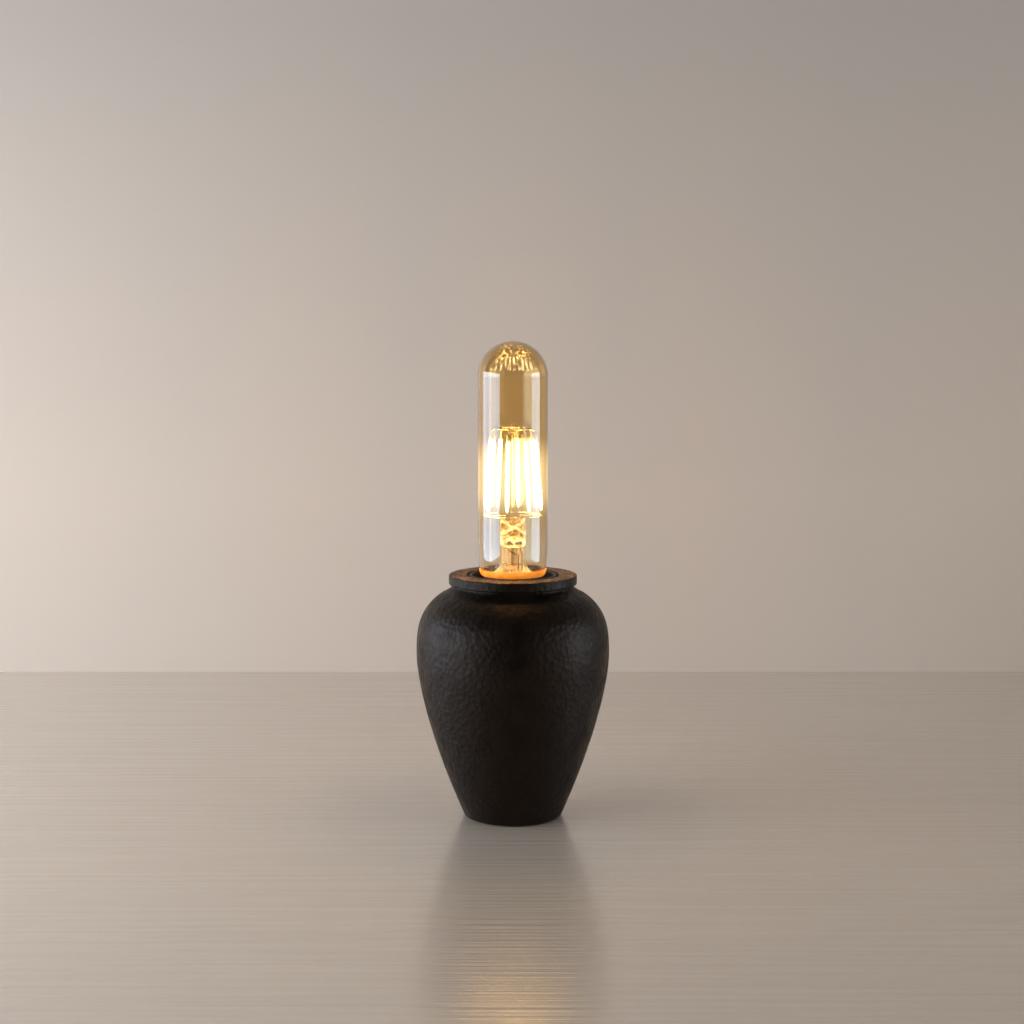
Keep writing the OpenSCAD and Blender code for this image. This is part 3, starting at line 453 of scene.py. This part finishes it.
glaze_material, tree = new_material("waxed_iron_glaze")
glaze = use(
    tree, mottle_group, Dark=(0.0018, 0.0013, 0.0009, 1), Light=(0.0088, 0.0056, 0.0038, 1), Scale=95.0,
    Contrast=2.2,
)
surface = use(tree, grain_group, Scale=1100.0, Smooth=0.34, Rough=0.55)
point = object_point(tree)
on_lip = ranged(tree, height_on(tree), jar_top - lip_skin, jar_top - lip_skin / 2)
# Painted glints: bright golden specks over the lip's grain stand for the bulb's light catching it.
grit = add(tree, "TexVoronoi", Vector=point, Scale=1350.0).outputs["Color"]
grit = add(tree, "SeparateColor", _0=grit).outputs
lip_glint_specks = ranged(tree, grit["Red"], 0.72, 1.0)
lip_grain_and_glints = mixed(tree, lip_glint_specks, (0.012, 0.0075, 0.005), (0.48, 0.26, 0.11))
pores = add(tree, "TexVoronoi", {"feature": "SMOOTH_F1"}, Vector=point, Scale=420.0, Smoothness=0.4)
waxy = joined(tree, "MULTIPLY_ADD", pores.outputs[0], 2.2, surface["Height"])
bumps = add(tree, "Mix", _0=on_lip, _2=waxy, _3=grit["Green"]).outputs[0]
relief = add(tree, "Bump", Strength=0.85, Distance=0.00014, Height=bumps).outputs[0]
shader = add(
    tree, "BsdfPrincipled", Base_Color=mixed(tree, on_lip, glaze["Color"], lip_grain_and_glints),
    Roughness=surface["Roughness"], Normal=relief, Specular_IOR_Level=0.24,
    Specular_Tint=(1.0, 0.76, 0.56, 1),
)
finish_material(tree, shader.outputs[0])
dress(jar, glaze_material, "dark_stoneware", "base", "jar")


# ---- Felt pad ----
# A disc of pressed grey felt, glued under the foot, stands out by half a millimetre. It closes the
# wiring recess and keeps the table from scratches.
def everyday(name, dark, light, scale, rough, grain_scale=900.0, bump=0.00003, metallic=0.0, **sockets):
    """A material with mottled colour, uneven gloss and a fine grain."""
    material, tree = new_material(name)
    tone = use(tree, mottle_group, Dark=rgba(dark), Light=rgba(light), Scale=scale, Contrast=1.6)
    surface = use(tree, grain_group, Scale=grain_scale, Smooth=rough[0], Rough=rough[1])
    relief = add(tree, "Bump", Strength=0.7, Distance=bump, Height=surface["Height"])
    shader = add(
        tree, "BsdfPrincipled", Base_Color=tone["Color"], Roughness=surface["Roughness"],
        Metallic=metallic, Normal=relief.outputs[0], **sockets,
    )
    finish_material(tree, shader.outputs[0])
    return material


pad_r, pad_edge, fuzz_size, fuzz_share = 0.019, 0.0004, 0.0007, 0.006
pad = lathe(
    "felt_pad",
    line((0, 0), (pad_r - pad_edge, 0), 20) + arc((pad_r - pad_edge, pad_edge), pad_edge, -90, 0, 4)[1:]
    + arc((pad_r - pad_edge, pad_top - pad_edge), pad_edge, 0, 90, 4) + [(0, pad_top)],
    160,
)
for vertex in pad.data.vertices:
    fuzz = 0.5 + 0.5 * noise.noise(vertex.co / fuzz_size)
    if vertex.co.xy.length > pad_r - 0.001:
        vertex.co.xy *= 1 - fuzz_share * fuzz
tidy_mesh(pad, 60)
felt = everyday(
    "pressed_felt", (0.035, 0.035, 0.036), (0.075, 0.074, 0.072), 1400.0, (0.9, 1.0), 3500.0, 0.0002,
    Sheen_Weight=0.6,
)
dress(pad, felt, "grey_felt", "base", "foot_pad")


# ---- Cord bushing ----
# A black rubber grommet lines the cord hole in the back of the foot. It is pushed in from outside,
# until its flange sits in the spot face.
def finish_nodes(material, slot, *names):
    """Gives CAD nodes, whose shape is right as it is, their finish."""
    for name in names:
        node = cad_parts[name]
        node.data.materials.clear()
        node.data.materials.append(material)


rubber = everyday(
    "black_rubber", (0.012, 0.012, 0.012), (0.03, 0.03, 0.03), 300.0, (0.55, 0.75), 2500.0, 0.00004
)
finish_nodes(rubber, "black_rubber", "cord_bushing", "rubber_washers")


# ---- Threaded tube, nuts and washers ----
# A brass tube clamps the lampholder to the jar's floor, between zinc-plated nuts and steel washers
# over rubber ones that spare the stoneware.
brass = everyday(
    "lacquered_brass", (0.56, 0.40, 0.15), (0.72, 0.55, 0.26), 160.0, (0.22, 0.36), 1600.0, 0.00002, 1.0
)
zinc = everyday(
    "zinc_plate", (0.50, 0.51, 0.53), (0.66, 0.66, 0.67), 220.0, (0.24, 0.42), 2200.0, 0.00003, 1.0
)
finish_nodes(brass, "lamp_brass", "threaded_tube")
finish_nodes(zinc, "zinc_steel", "lower_nut", "upper_nut", "steel_washers", "holder_locknut")


# ---- Lampholder ----
# A black phenolic cup screwed on the tube and locked by a grub screw holds a porcelain insert with
# the contacts and the screw shell. The skirt screws over the cup and ends in a bevelled ring.
phenolic = everyday(
    "black_phenolic", (0.010, 0.010, 0.010), (0.018, 0.017, 0.016), 240.0, (0.38, 0.52), 1800.0, 0.00002,
    Specular_IOR_Level=0.3,
)
black_oxide = everyday(
    "black_oxide", (0.03, 0.03, 0.034), (0.07, 0.07, 0.075), 500.0, (0.35, 0.5), 2500.0, 0.00003, 1.0
)
porcelain = everyday(
    "bare_porcelain", (0.76, 0.74, 0.67), (0.86, 0.84, 0.79), 260.0, (0.5, 0.68), 1500.0, 0.00004
)
finish_nodes(phenolic, "black_phenolic", "holder_cup")
finish_nodes(black_oxide, "black_steel", "grub_screw")
finish_nodes(porcelain, "porcelain", "holder_insert")
finish_nodes(brass, "lamp_brass", "centre_contact", "neutral_strip", "terminal_screws")

thread_pitch, thread_swing = 0.003629, 0.000525
shell_low, shell_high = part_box("screw_shell")
shell_r, shell_root, shell_floor_r, shell_sheet, plain_end = 0.01419, 0.012815, 0.0095, 0.0005, 0.0006
levels = line((shell_root, shell_low.z + plain_end), (shell_root, shell_high.z - plain_end), 130)
shell = lathe(
    "rolled_screw_shell",
    [(shell_floor_r, shell_low.z + plain_end)]
    + [(r, z, thread_swing) for r, z in levels]
    + [(shell_r - 0.0003, shell_high.z - 0.0001), (shell_r, shell_high.z - 0.0003)]
    + [(shell_r - 0.0004, shell_high.z - 0.0008)]
    + [(r + shell_sheet, z, thread_swing) for r, z in levels[-4:0:-1]]
    + [(shell_root + shell_sheet, shell_low.z), (shell_floor_r, shell_low.z)],
    128, thread_pitch,
)
dress(shell, brass, "lamp_brass", "base", "screw_shell")

skirt_r, well_r, sleeve_r, shell_hole_r, bevel = 0.02015, 0.0187, 0.01815, 0.01459, 0.0005
skirt_z, skirt_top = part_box("holder_skirt")[0].z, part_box("holder_skirt")[1].z
shoulder_z, shoulder_t = skirt_top - 0.0061, 0.0022
skirt = lathe(
    "holder_skirt_ring",
    line((sleeve_r, skirt_z), (skirt_r, skirt_z), 2)
    + line((skirt_r, skirt_z + 0.0003), (skirt_r, skirt_top - bevel - 0.0001), 8)
    + [(skirt_r - 0.00008, skirt_top - bevel + 0.0001), (skirt_r - bevel + 0.0001, skirt_top - 0.00006)]
    + line((skirt_r - bevel - 0.0001, skirt_top), (well_r + 0.00035, skirt_top), 3)
    + [(well_r + 0.0001, skirt_top - 0.0002), (well_r, skirt_top - bevel)]
    + [(well_r, shoulder_z + 0.0003), (well_r - 0.0003, shoulder_z)]
    + [(shell_hole_r, shoulder_z), (shell_hole_r, shoulder_z - shoulder_t)]
    + [(sleeve_r, shoulder_z - shoulder_t)],
    192,
)
dress(skirt, phenolic, "black_phenolic", "base", "holder_skirt")


# ---- Leads ----
# A brown live lead and a blue neutral one run from the terminals down the tube, and end in nylon
# closed-end connectors in the foot, where the mains cord is crimped on.
brown = everyday("brown_insulation", (0.11, 0.04, 0.014), (0.17, 0.07, 0.028), 400.0, (0.38, 0.5))
blue = everyday("blue_insulation", (0.012, 0.07, 0.28), (0.022, 0.12, 0.42), 400.0, (0.38, 0.5))
nylon = everyday(
    "moulded_nylon", (0.66, 0.64, 0.55), (0.80, 0.78, 0.70), 500.0, (0.35, 0.5), Subsurface_Weight=0.2
)
finish_nodes(brown, "brown_insulation", "live_lead")
finish_nodes(blue, "blue_insulation", "neutral_lead")
finish_nodes(nylon, "clear_nylon", "crimp_connectors")


# ---- Bulb cap ----
# The bulb stands on a rolled brass screw cap. A black glass insulator closes its lower end round a
# soldered tip contact, which only rise with the bulb in this model.
vitrite = everyday(
    "black_vitrite", (0.006, 0.006, 0.009), (0.014, 0.014, 0.02), 350.0, (0.08, 0.2), 1200.0, 0.00002,
    Coat_Weight=0.5,
)
solder = everyday(
    "soldered_tip", (0.50, 0.43, 0.28), (0.68, 0.62, 0.50), 700.0, (0.25, 0.5), 1500.0, 0.00008, 1.0
)
cap_brass = everyday(
    "rolled_brass", (0.58, 0.44, 0.19), (0.74, 0.60, 0.34), 240.0, (0.26, 0.42), 2000.0, 0.00003, 1.0
)
finish_nodes(vitrite, "black_vitrite", "cap_insulator")
finish_nodes(solder, "tip_metal", "tip_contact")

cap_low, cap_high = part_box("bulb_cap")[0].z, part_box("bulb_cap")[1].z
thread_low, thread_high, cap_mean, cap_bore = cap_low + 0.0017, cap_high - 0.0057, 0.012575, 0.0112
cap_foot_r, band_r, band_bore, run_out, root_dip = 0.0096, 0.0136, 0.0127, 0.0016, 0.0006
thread = []
for _, z in line((0, thread_low + 0.0002), (0, thread_high - 0.0002), 150):
    share = min(1, (z - thread_low) / run_out, (thread_high - z) / run_out)
    thread.append((cap_mean - root_dip * (1 - share), z, thread_swing * share))
cap = lathe(
    "rolled_screw_cap",
    [(cap_foot_r, cap_low), (0.0103, cap_low), (0.0112, cap_low + 0.0006)]
    + thread
    + [(band_r - 0.0006, thread_high + 0.0002), (band_r, thread_high + 0.0009), (band_r, cap_high - 0.0003)]
    + [(band_r - 0.0002, cap_high), (band_bore, cap_high), (band_bore, thread_high + 0.001)]
    + [(cap_bore, thread_high + 0.001), (cap_bore, cap_low + 0.0026), (cap_foot_r, cap_low + 0.0008)],
    160, thread_pitch,
)
dress(cap, cap_brass, "cap_brass", "bulb", "bulb_cap")

# The top of the cap is painted dark, as painted shade in the lampholder's well.
shade_depth = 0.004
painted_dark_shade = everyday("painted_cap_shade", (0.010, 0.007, 0.005), (0.030, 0.020, 0.013), 700.0, (0.5, 0.7))
cap.data.materials.append(painted_dark_shade)
for face in cap.data.polygons:
    if face.center.z > cap_high - shade_depth:
        face.material_index = 1


# ---- Bulb collar ----
# The translucent ring between glass and cap has a painted orange glow, brightest where it meets the glass,
# standing in for the light it takes from the stem. Its inside is painted dark, as painted shade.
collar_low, collar_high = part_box("bulb_collar")[0].z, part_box("bulb_collar")[1].z
collar_bend = [
    (0.0141, collar_low), (0.0149, collar_low + 0.0005), (0.01535, collar_low + 0.0018),
    (0.01545, collar_high),
]
collar = lathe(
    "collar_painted_glow",
    curve(collar_bend, 10) + [(0.01485, collar_high), (0.0131, collar_low + 0.0008), (0.0127, collar_low)],
    160,
)
material, tree = new_material("collar_painted_glow")
tone = use(
    tree, mottle_group, Dark=(0.72, 0.19, 0.014, 1), Light=(0.97, 0.34, 0.045, 1), Scale=320.0, Contrast=2.5
)
# Painted glow: emission in the collar's own colour, rising towards the glass.
painted_light_rise = ranged(tree, height_on(tree), collar_low, collar_high, 0.75, 1.35)
painted_glow = add(tree, "VectorMath", {"operation": "SCALE"}, _0=tone["Color"], Scale=painted_light_rise)
shader = add(
    tree, "BsdfPrincipled", Base_Color=tone["Color"], Roughness=0.35, Emission_Color=painted_glow.outputs[0],
    Emission_Strength=0.8,
)
finish_material(tree, shader.outputs[0])
dress(collar, material, "amber_collar", "bulb", "bulb_collar")
# The inside faces get the dark painted shade.
collar.data.materials.append(painted_dark_shade)
for face in collar.data.polygons:
    if face.normal.xy.dot(face.center.xy) < 0 and face.center.z > collar_low + 0.0009:
        face.material_index = 1


# ---- Bulb glass ----
# A tube of clear glass with a round top and a gold tint that was fired on. Its neck goes down into
# the cap, where it is sealed to the stem.
def glass_material(name, tint, lets_through, **sockets):
    """Clear glass. Lamps and filaments shine straight through it, with its tint."""
    material, tree = new_material(name)
    glass = add(
        tree, "BsdfPrincipled", Base_Color=rgba(tint), Roughness=0.0, Transmission_Weight=1.0, **sockets
    )
    clear = add(tree, "BsdfTransparent", Color=rgba(lets_through))
    path = add(tree, "LightPath").outputs
    passes = joined(tree, "MAXIMUM", path["Is Shadow Ray"], path["Is Diffuse Ray"])
    either = add(tree, "MixShader", _0=passes, _1=glass.outputs[0], _2=clear.outputs[0])
    finish_material(tree, either.outputs[0])
    return material, tree, glass


def band_mask(tree, height, low, full_from, full_to, high):
    """A mask that is 1 between two heights and fades out below and above them."""
    return joined(tree, "MULTIPLY", eased(tree, height, low, full_from), eased(tree, height, high, full_to))


def glow_colour(tree, mask, colour):
    return mixed(tree, mask, (0, 0, 0), colour)


glass_r, glass_t, glass_foot_r, neck_r = 0.016, 0.0009, 0.01545, 0.0126
glass_low, glass_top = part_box("bulb_glass")[0].z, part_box("bulb_glass")[1].z
dome_z, taper_z, glass_foot_z, neck_top_z = glass_top - glass_r, 0.1265, 0.1162, 0.1122
neck_bend = [(neck_r, neck_top_z), (0.0131, 0.1133), (0.01465, 0.1146), (0.01475, 0.1153)]
taper_bend = [(glass_foot_r, glass_foot_z), (0.01575, 0.1192), (glass_r, 0.1226), (glass_r, taper_z)]


def glass_outline(depth):
    """The glass from its neck to the top of its dome, at a depth under its outer face."""
    foot_line, taper_line = ([(r - depth, z) for r, z in bend] for bend in (neck_bend, taper_bend))
    foot = [(neck_r - depth, glass_low), (neck_r - depth, neck_top_z)] + curve(foot_line, 6)[1:]
    tube = line((glass_r - depth, taper_z), (glass_r - depth, dome_z), 12)[1:]
    dome = arc((0, dome_z), glass_r - depth, 0, 90, 28)[1:-1]
    return foot + curve(taper_line, 12) + tube + dome + [(0, glass_top - depth)]


glass = lathe("gold_tinted_glass", glass_outline(0) + glass_outline(glass_t)[::-1], 160)
tidy_mesh(glass, 60)
gold_tint, pale_tint, gold_light, gold_ior = (0.87, 0.70, 0.41), (0.885, 0.78, 0.59), (0.93, 0.84, 0.64), 1.75


def fade_tint(tree, shader):
    """The tint was fired on from the top, so it runs out towards the neck."""
    full = eased(tree, height_on(tree), 0.119, 0.152)
    tree.links.new(mixed(tree, full, pale_tint, gold_tint), shader.inputs["Base Color"])


# The outer face has a faint painted glow beside the filaments, browner at the glass's edges, as a painted
# haze of their light.
outer_face, tree, shader = glass_material(
    "gold_tinted_glass", gold_tint, gold_light, IOR=gold_ior, Specular_Tint=(0.4, 0.75, 1.0, 1),
    Emission_Strength=1.0,
)
near_light = band_mask(tree, height_on(tree), 0.137, 0.153, 0.161, 0.177)
rim = eased(tree, add(tree, "LayerWeight", Blend=0.35).outputs["Facing"], 0.2, 0.5)
painted_haze = glow_colour(tree, near_light, mixed(tree, rim, (0.42, 0.38, 0.24), (0.13, 0.055, 0.013)))
tree.links.new(painted_haze, shader.inputs["Emission Color"])
fade_tint(tree, shader)
inner_face, tree, shader = glass_material(
    "glass_inner_face", gold_tint, gold_light, IOR=gold_ior, Specular_Tint=(0.8, 0.8, 0.8, 1)
)
fade_tint(tree, shader)

# Inside the dome a crown of golden streaks is painted on as glow: a painted reflection of the lit cage upside
# down.
inner_dome, tree, shader = glass_material(
    "glass_inner_dome", gold_tint, gold_light, IOR=gold_ior, Coat_Weight=0.9, Coat_IOR=1.85,
    Coat_Roughness=0.0, Emission_Strength=1.0,
)
streak_n, streak_wander, edge_wave = 44, 11.0, 0.002
crown_band = [dome_z + up for up in (0.0034, 0.0042, 0.0088, 0.0106)]
east, north, height = add(tree, "SeparateXYZ", _0=object_point(tree)).outputs
wobble = add(tree, "TexNoise", Vector=object_point(tree), Scale=260.0, Detail=2).outputs[0]
turned = joined(tree, "MULTIPLY", joined(tree, "ARCTAN2", north, east), streak_n)
phase = joined(tree, "MULTIPLY_ADD", wobble, streak_wander, turned)
streaks = eased(tree, joined(tree, "COSINE", phase), -0.2, 0.6)
upright = add(tree, "Mapping", _0=object_point(tree), Scale=(1, 1, 0.15)).outputs[0]
uneven = add(tree, "TexNoise", Vector=upright, Scale=430.0, Detail=1).outputs[0]
streaks = joined(tree, "MULTIPLY", streaks, ranged(tree, uneven, 0.42, 0.56))
wavy = joined(tree, "MULTIPLY_ADD", wobble, edge_wave, height)
painted_reflection_crown = band_mask(tree, wavy, *crown_band)
face_on = eased(tree, add(tree, "LayerWeight", Blend=0.5).outputs["Facing"], 0.10, 0.055)
first_sight = joined(tree, "LESS_THAN", add(tree, "LightPath").outputs["Glossy Depth"], 0.5)
for mask in (streaks, face_on, first_sight):
    painted_reflection_crown = joined(tree, "MULTIPLY", painted_reflection_crown, mask)
tree.links.new(glow_colour(tree, painted_reflection_crown, (1.3, 1.12, 0.70)), shader.inputs["Emission Color"])
dress(glass, outer_face, "amber_glass", "bulb", "bulb_glass")
glass.data.materials.append(inner_face)
glass.data.materials.append(inner_dome)
for face in glass.data.polygons:
    x, y, z = face.center
    if face.normal.dot(Vector((x, y, max(0, z - dome_z)))) < 0:
        face.material_index = 2 if z > dome_z else 1


# ---- Stem ----
# The stem is a flared glass tube whose top was pinched flat round the wires while it was hot, which
# left it wavy. An exhaust tube under the press was used to pump the bulb out.
stem_tint, stem_light, stem_ior = (1.0, 0.97, 0.90), (0.99, 0.98, 0.95), 1.5
clear_glass = glass_material("clear_glass", stem_tint, stem_light, IOR=stem_ior)[0]
stem_r, stem_bore, flare_r, cage_turn = 0.006, 0.0051, 0.0116, radians(11)
stem_low, stem_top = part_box("stem")[0].z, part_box("stem")[1].z
press_h, press_half, stem_glass = 0.012, 0.002, 0.0009
press_low, flare_low, flare_top = stem_top - press_h, collar_low + 0.0004, collar_low + 0.0058
flare_outside = [
    (stem_r, flare_top + 0.0006), (stem_r, flare_top - 0.0022), (0.0082, flare_low + 0.0012),
    (flare_r, flare_low + 0.0009),
]
flare_inside = [
    (flare_r - 0.0011, flare_low), (0.0077, flare_low + 0.0004), (stem_bore, flare_top - 0.0026),
    (stem_bore, flare_top),
]
stem = lathe(
    "pinched_stem",
    [(0, stem_top), (0.0025, stem_top - 0.0001), (0.0050, stem_top - 0.0004), (0.0057, stem_top - 0.0010)]
    + line((stem_r, stem_top - 0.002), (stem_r, flare_top + 0.0008), 50)
    + curve(flare_outside, 16)[1:]
    + [(flare_r, stem_low), (flare_r - stem_glass, stem_low), (flare_r - stem_glass, flare_low)]
    + curve(flare_inside, 14)[1:]
    + line((stem_bore, flare_top + 0.0005), (stem_bore, press_low - 0.001), 12)
    + arc((0, press_low - 0.001), stem_bore, 0, 90, 6)[1:-1][:4]
    + [(0, press_low + 0.0012)],
    128,
)
pinch_from, pinch_run, bore_squash = 0.0015, 0.0055, 0.45
for vertex in stem.data.vertices:
    x, y, z = vertex.co
    on_outside = vertex.co.xy.length > stem_bore + 0.0003 or z > press_low + 0.0013
    if on_outside and z > press_low - pinch_from:
        pinch = min(1, (z - press_low + pinch_from) / pinch_run)
        pinch = pinch * pinch * (3 - 2 * pinch)
        thin = 1 - pinch * (1 - press_half / stem_r)
        wave = noise.noise(vertex.co / 0.0021) * 0.12 + noise.noise(vertex.co / 0.0011) * 0.07
        x, y = x * (0.985 + 0.4 * min(0, wave) * pinch), y * thin * (0.86 + wave * pinch)
    elif z > press_low - 0.0012:
        y *= bore_squash
    elif z > flare_low:
        flute = 0.5 + 0.5 * noise.noise(Vector((x / 0.0016, y / 0.0016, z / 0.03)))
        ripple = 0.5 + 0.5 * noise.noise(vertex.co / 0.0014) if z < flare_top else 0
        shrink = 1 - 0.014 * flute - 0.05 * ripple
        x, y = x * shrink, y * shrink
    vertex.co = Matrix.Rotation(cage_turn, 3, "Z") @ Vector((x, y, z))
tidy_mesh(stem, 60)

# The press has painted sparkles of the filaments' light, in crossing strokes and fine seams over a scalloped
# hem, and its glass is tinted gold there as painted light. The tube under it carries faint painted streaks of
# light, and the flare at its foot has a painted orange glow.
material, tree, shader = glass_material(
    "stem_glass", stem_tint, stem_light, IOR=stem_ior, Emission_Strength=1.0
)
spot = add(tree, "Mapping", _0=object_point(tree), Rotation=(0, 0, -cage_turn)).outputs[0]
across, _, height = add(tree, "SeparateXYZ", _0=spot).outputs
wobble = add(tree, "TexNoise", Vector=spot, Scale=420.0, Detail=2).outputs[0]
wavy_height = joined(tree, "ADD", height, ranged(tree, wobble, 0.3, 0.7, -0.0011, 0.0011))


def away_from(tree, height, across, middle, slope):
    """How far a point of the press is from a crease that climbs across it."""
    climbing = joined(tree, "MULTIPLY_ADD", across, slope, middle)
    return joined(tree, "ABSOLUTE", joined(tree, "SUBTRACT", height, climbing))


crease_z, crease_slope, seam_shift = stem_top - 0.0046, 0.55, (0.0016, 0.0016, 0.0016)
shift = add(tree, "TexNoise", Vector=spot, Scale=600.0).outputs[1]
shifted = add(tree, "VectorMath", {"operation": "MULTIPLY_ADD"}, _0=shift, _1=seam_shift, _2=spot).outputs[0]
seams = add(tree, "TexVoronoi", {"feature": "DISTANCE_TO_EDGE"}, Vector=shifted, Scale=330.0).outputs[0]
creases = eased(tree, seams, 0.09, 0.01, 0.55)
cross = joined(
    tree, "MINIMUM", away_from(tree, wavy_height, across, crease_z, crease_slope),
    away_from(tree, wavy_height, across, crease_z, -crease_slope),
)
strokes = joined(tree, "MAXIMUM", eased(tree, cross, 0.0011, 0.0003), creases)
in_press = band_mask(tree, wavy_height, press_low, press_low + 0.0008, stem_top - 0.0008, stem_top)
scallop_width, scallop_h = 0.0048, 0.0016
swing = joined(tree, "ABSOLUTE", joined(tree, "SINE", joined(tree, "MULTIPLY", across, pi / scallop_width)))
scallop = joined(tree, "MULTIPLY_ADD", swing, -scallop_h, wavy_height)
hem = band_mask(tree, scallop, press_low - 0.0010, press_low - 0.0003, press_low + 0.0006, press_low + 0.0013)
painted_press_sparkle = joined(tree, "MAXIMUM", joined(tree, "MULTIPLY", strokes, in_press), hem)
painted_flare_glow = band_mask(tree, wavy_height, flare_low, flare_low + 0.0006, flare_low + 0.0012, flare_top - 0.0014)
drawn_out = add(tree, "Mapping", _0=spot, Scale=(1, 1, 0.04)).outputs[0]
streak = add(tree, "TexNoise", Vector=drawn_out, Scale=900.0, Detail=2).outputs[0]
streak = ranged(tree, streak, 0.38, 0.62, 0.1, 1.0)
down_tube = band_mask(tree, height, flare_low, flare_low + 0.002, press_low - 0.001, press_low + 0.001)
painted_tube_streaks = joined(tree, "MULTIPLY", streak, down_tube)


def both(tree, one, other):
    return add(tree, "Mix", {"data_type": "RGBA", "blend_type": "ADD"}, _0=1.0, _6=one, _7=other).outputs[2]


# Painted light: the press's sparkle, the flare's glow and the tube's streaks are all emission.
painted_glow = glow_colour(tree, painted_press_sparkle, (0.95, 0.78, 0.50))
for mask, colour in (
    (painted_flare_glow, (0.45, 0.24, 0.09)),
    (painted_tube_streaks, (0.17, 0.12, 0.065)),
    (in_press, (0.06, 0.03, 0.008)),
):
    painted_glow = both(tree, painted_glow, glow_colour(tree, mask, colour))
tree.links.new(painted_glow, shader.inputs["Emission Color"])
# The press's glass is tinted gold as painted light.
tree.links.new(mixed(tree, in_press, (1.0, 0.89, 0.70), (0.86, 0.62, 0.34)), shader.inputs["Base Color"])
dress(stem, material, "clear_glass", "bulb", "stem")
finish_nodes(clear_glass, "clear_glass", "exhaust_tube", "support_rod")


# ---- Wires ----
# Nickel wires carry the filaments: two carriers through the press at their feet, and one ring on the
# glass rod's bead that joins their tops. Thin lead-in wires go down the stem to the driver.
nickel = everyday(
    "drawn_nickel", (0.52, 0.46, 0.36), (0.70, 0.64, 0.54), 500.0, (0.22, 0.36), 3000.0, 0.00001, 1.0
)
dark_wire = everyday(
    "heat_darkened_wire", (0.07, 0.045, 0.03), (0.16, 0.11, 0.07), 500.0, (0.35, 0.5), 3000.0, 0.00001, 1.0
)
finish_nodes(nickel, "nickel_wire", "top_ring", "live_carrier", "return_carrier", "return_wire")
finish_nodes(dark_wire, "nickel_wire", "lead_in_wires")


# ---- Filaments ----
# Eight strips of tiny chips under a yellow phosphor coat stand in a ring, closer together at their
# tops. Each has a bare metal tab at both ends.
filament_n, ring_low_r, ring_top_r, filament_r, filament_tip_r = 8, 0.0133, 0.010, 0.0009, 0.0006
filament_len, tab_len, top_tab_len, tab_t, tab_w = 0.038, 0.0022, 0.0032, 0.00025, 0.0006
filament_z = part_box("filament_1")[0].z
lean = (ring_low_r - ring_top_r) / sqrt(filament_len ** 2 - (ring_low_r - ring_top_r) ** 2)
lit_low, lit_high, end_fade = tab_len, filament_len - top_tab_len, 0.0035
material, tree = new_material("lit_phosphor")
speck = use(
    tree, mottle_group, Dark=(1.0, 0.66, 0.30, 1), Light=(1.0, 0.76, 0.42, 1), Scale=1500.0, Contrast=2.0
)
lit_from, lit_to = filament_z + tab_len, filament_z + filament_len - top_tab_len
bright = band_mask(tree, height_on(tree), lit_from - 0.001, lit_from + end_fade, lit_to - end_fade, lit_to)
shader = add(
    tree, "BsdfPrincipled", Base_Color=(1.0, 0.8, 0.3, 1), Roughness=0.5, Emission_Strength=60.0,
    Emission_Color=mixed(tree, bright, (0.020, 0.008, 0.0014), speck["Color"]),
)
finish_material(tree, shader.outputs[0])
foot_bend = [
    (0.0003, lit_low), (filament_tip_r, lit_low + 0.0012), (filament_r, lit_low + 0.003),
    (filament_r, lit_low + 0.0055),
]
head_bend = [
    (filament_r, lit_high - 0.0016), (filament_r, lit_high - 0.0006), (filament_tip_r, lit_high - 0.0002),
    (0.0003, lit_high),
]
for n in range(1, filament_n + 1):
    filament = lathe(
        f"lit_filament_{n}",
        [(0, lit_low)] + curve(foot_bend, 10)
        + line((filament_r, lit_low + 0.006), (filament_r, lit_high - 0.0018), 30)
        + curve(head_bend, 8) + [(0, lit_high)],
        24,
    )
    for vertex in filament.data.vertices:
        vertex.co.xy *= 1 - 0.06 * (0.5 + 0.5 * noise.noise(vertex.co / 0.0009 + Vector((n, 0, 0))))
    tabs = bmesh.new()
    tabs.from_mesh(filament.data)
    for start, end in ((0, tab_len + 0.0002), (lit_high - 0.0002, filament_len)):
        stretch = Matrix.Diagonal((tab_t, tab_w, end - start, 1))
        middle = Matrix.Translation((0, 0, (start + end) / 2))
        made = bmesh.ops.create_cube(tabs, size=1, matrix=middle @ stretch)
        for face in {f for v in made["verts"] for f in v.link_faces}:
            face.material_index = 1
    tabs.to_mesh(filament.data)
    tabs.free()
    turn = Matrix.Rotation(cage_turn + tau / filament_n * (n - 0.5 - filament_n / 4), 4, "Z")
    foot_at = Matrix.Translation((ring_low_r, 0, filament_z + 0.0001))
    filament.data.transform(turn @ foot_at @ Matrix.Rotation(-atan(lean), 4, "Y"))
    tidy_mesh(filament, 50)
    filament.data.materials.append(material)
    filament.data.materials.append(nickel)
    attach(filament, "bulb")
    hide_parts(f"filament_{n}")


# ---- Driver ----
# A round board in the cap carries the rectifier, a driver chip and a small capacitor; a fusible
# resistor hangs under it, over the tip contact.
laminate = everyday("board_laminate", (0.58, 0.58, 0.48), (0.68, 0.68, 0.58), 600.0, (0.4, 0.55))
sleeve = everyday("capacitor_sleeve", (0.016, 0.016, 0.022), (0.035, 0.035, 0.045), 400.0, (0.2, 0.32))
resin = everyday(
    "chip_resin", (0.02, 0.02, 0.02), (0.035, 0.035, 0.035), 900.0, (0.5, 0.65), 3000.0, 0.00002
)
lacquer = everyday("resistor_lacquer", (0.07, 0.20, 0.11), (0.12, 0.30, 0.18), 700.0, (0.18, 0.3))
finish_nodes(laminate, "board_laminate", "driver_board")
finish_nodes(sleeve, "capacitor_sleeve", "capacitor")
finish_nodes(resin, "chip_resin", "rectifier", "driver_chip")
finish_nodes(lacquer, "resistor_lacquer", "fuse_resistor")
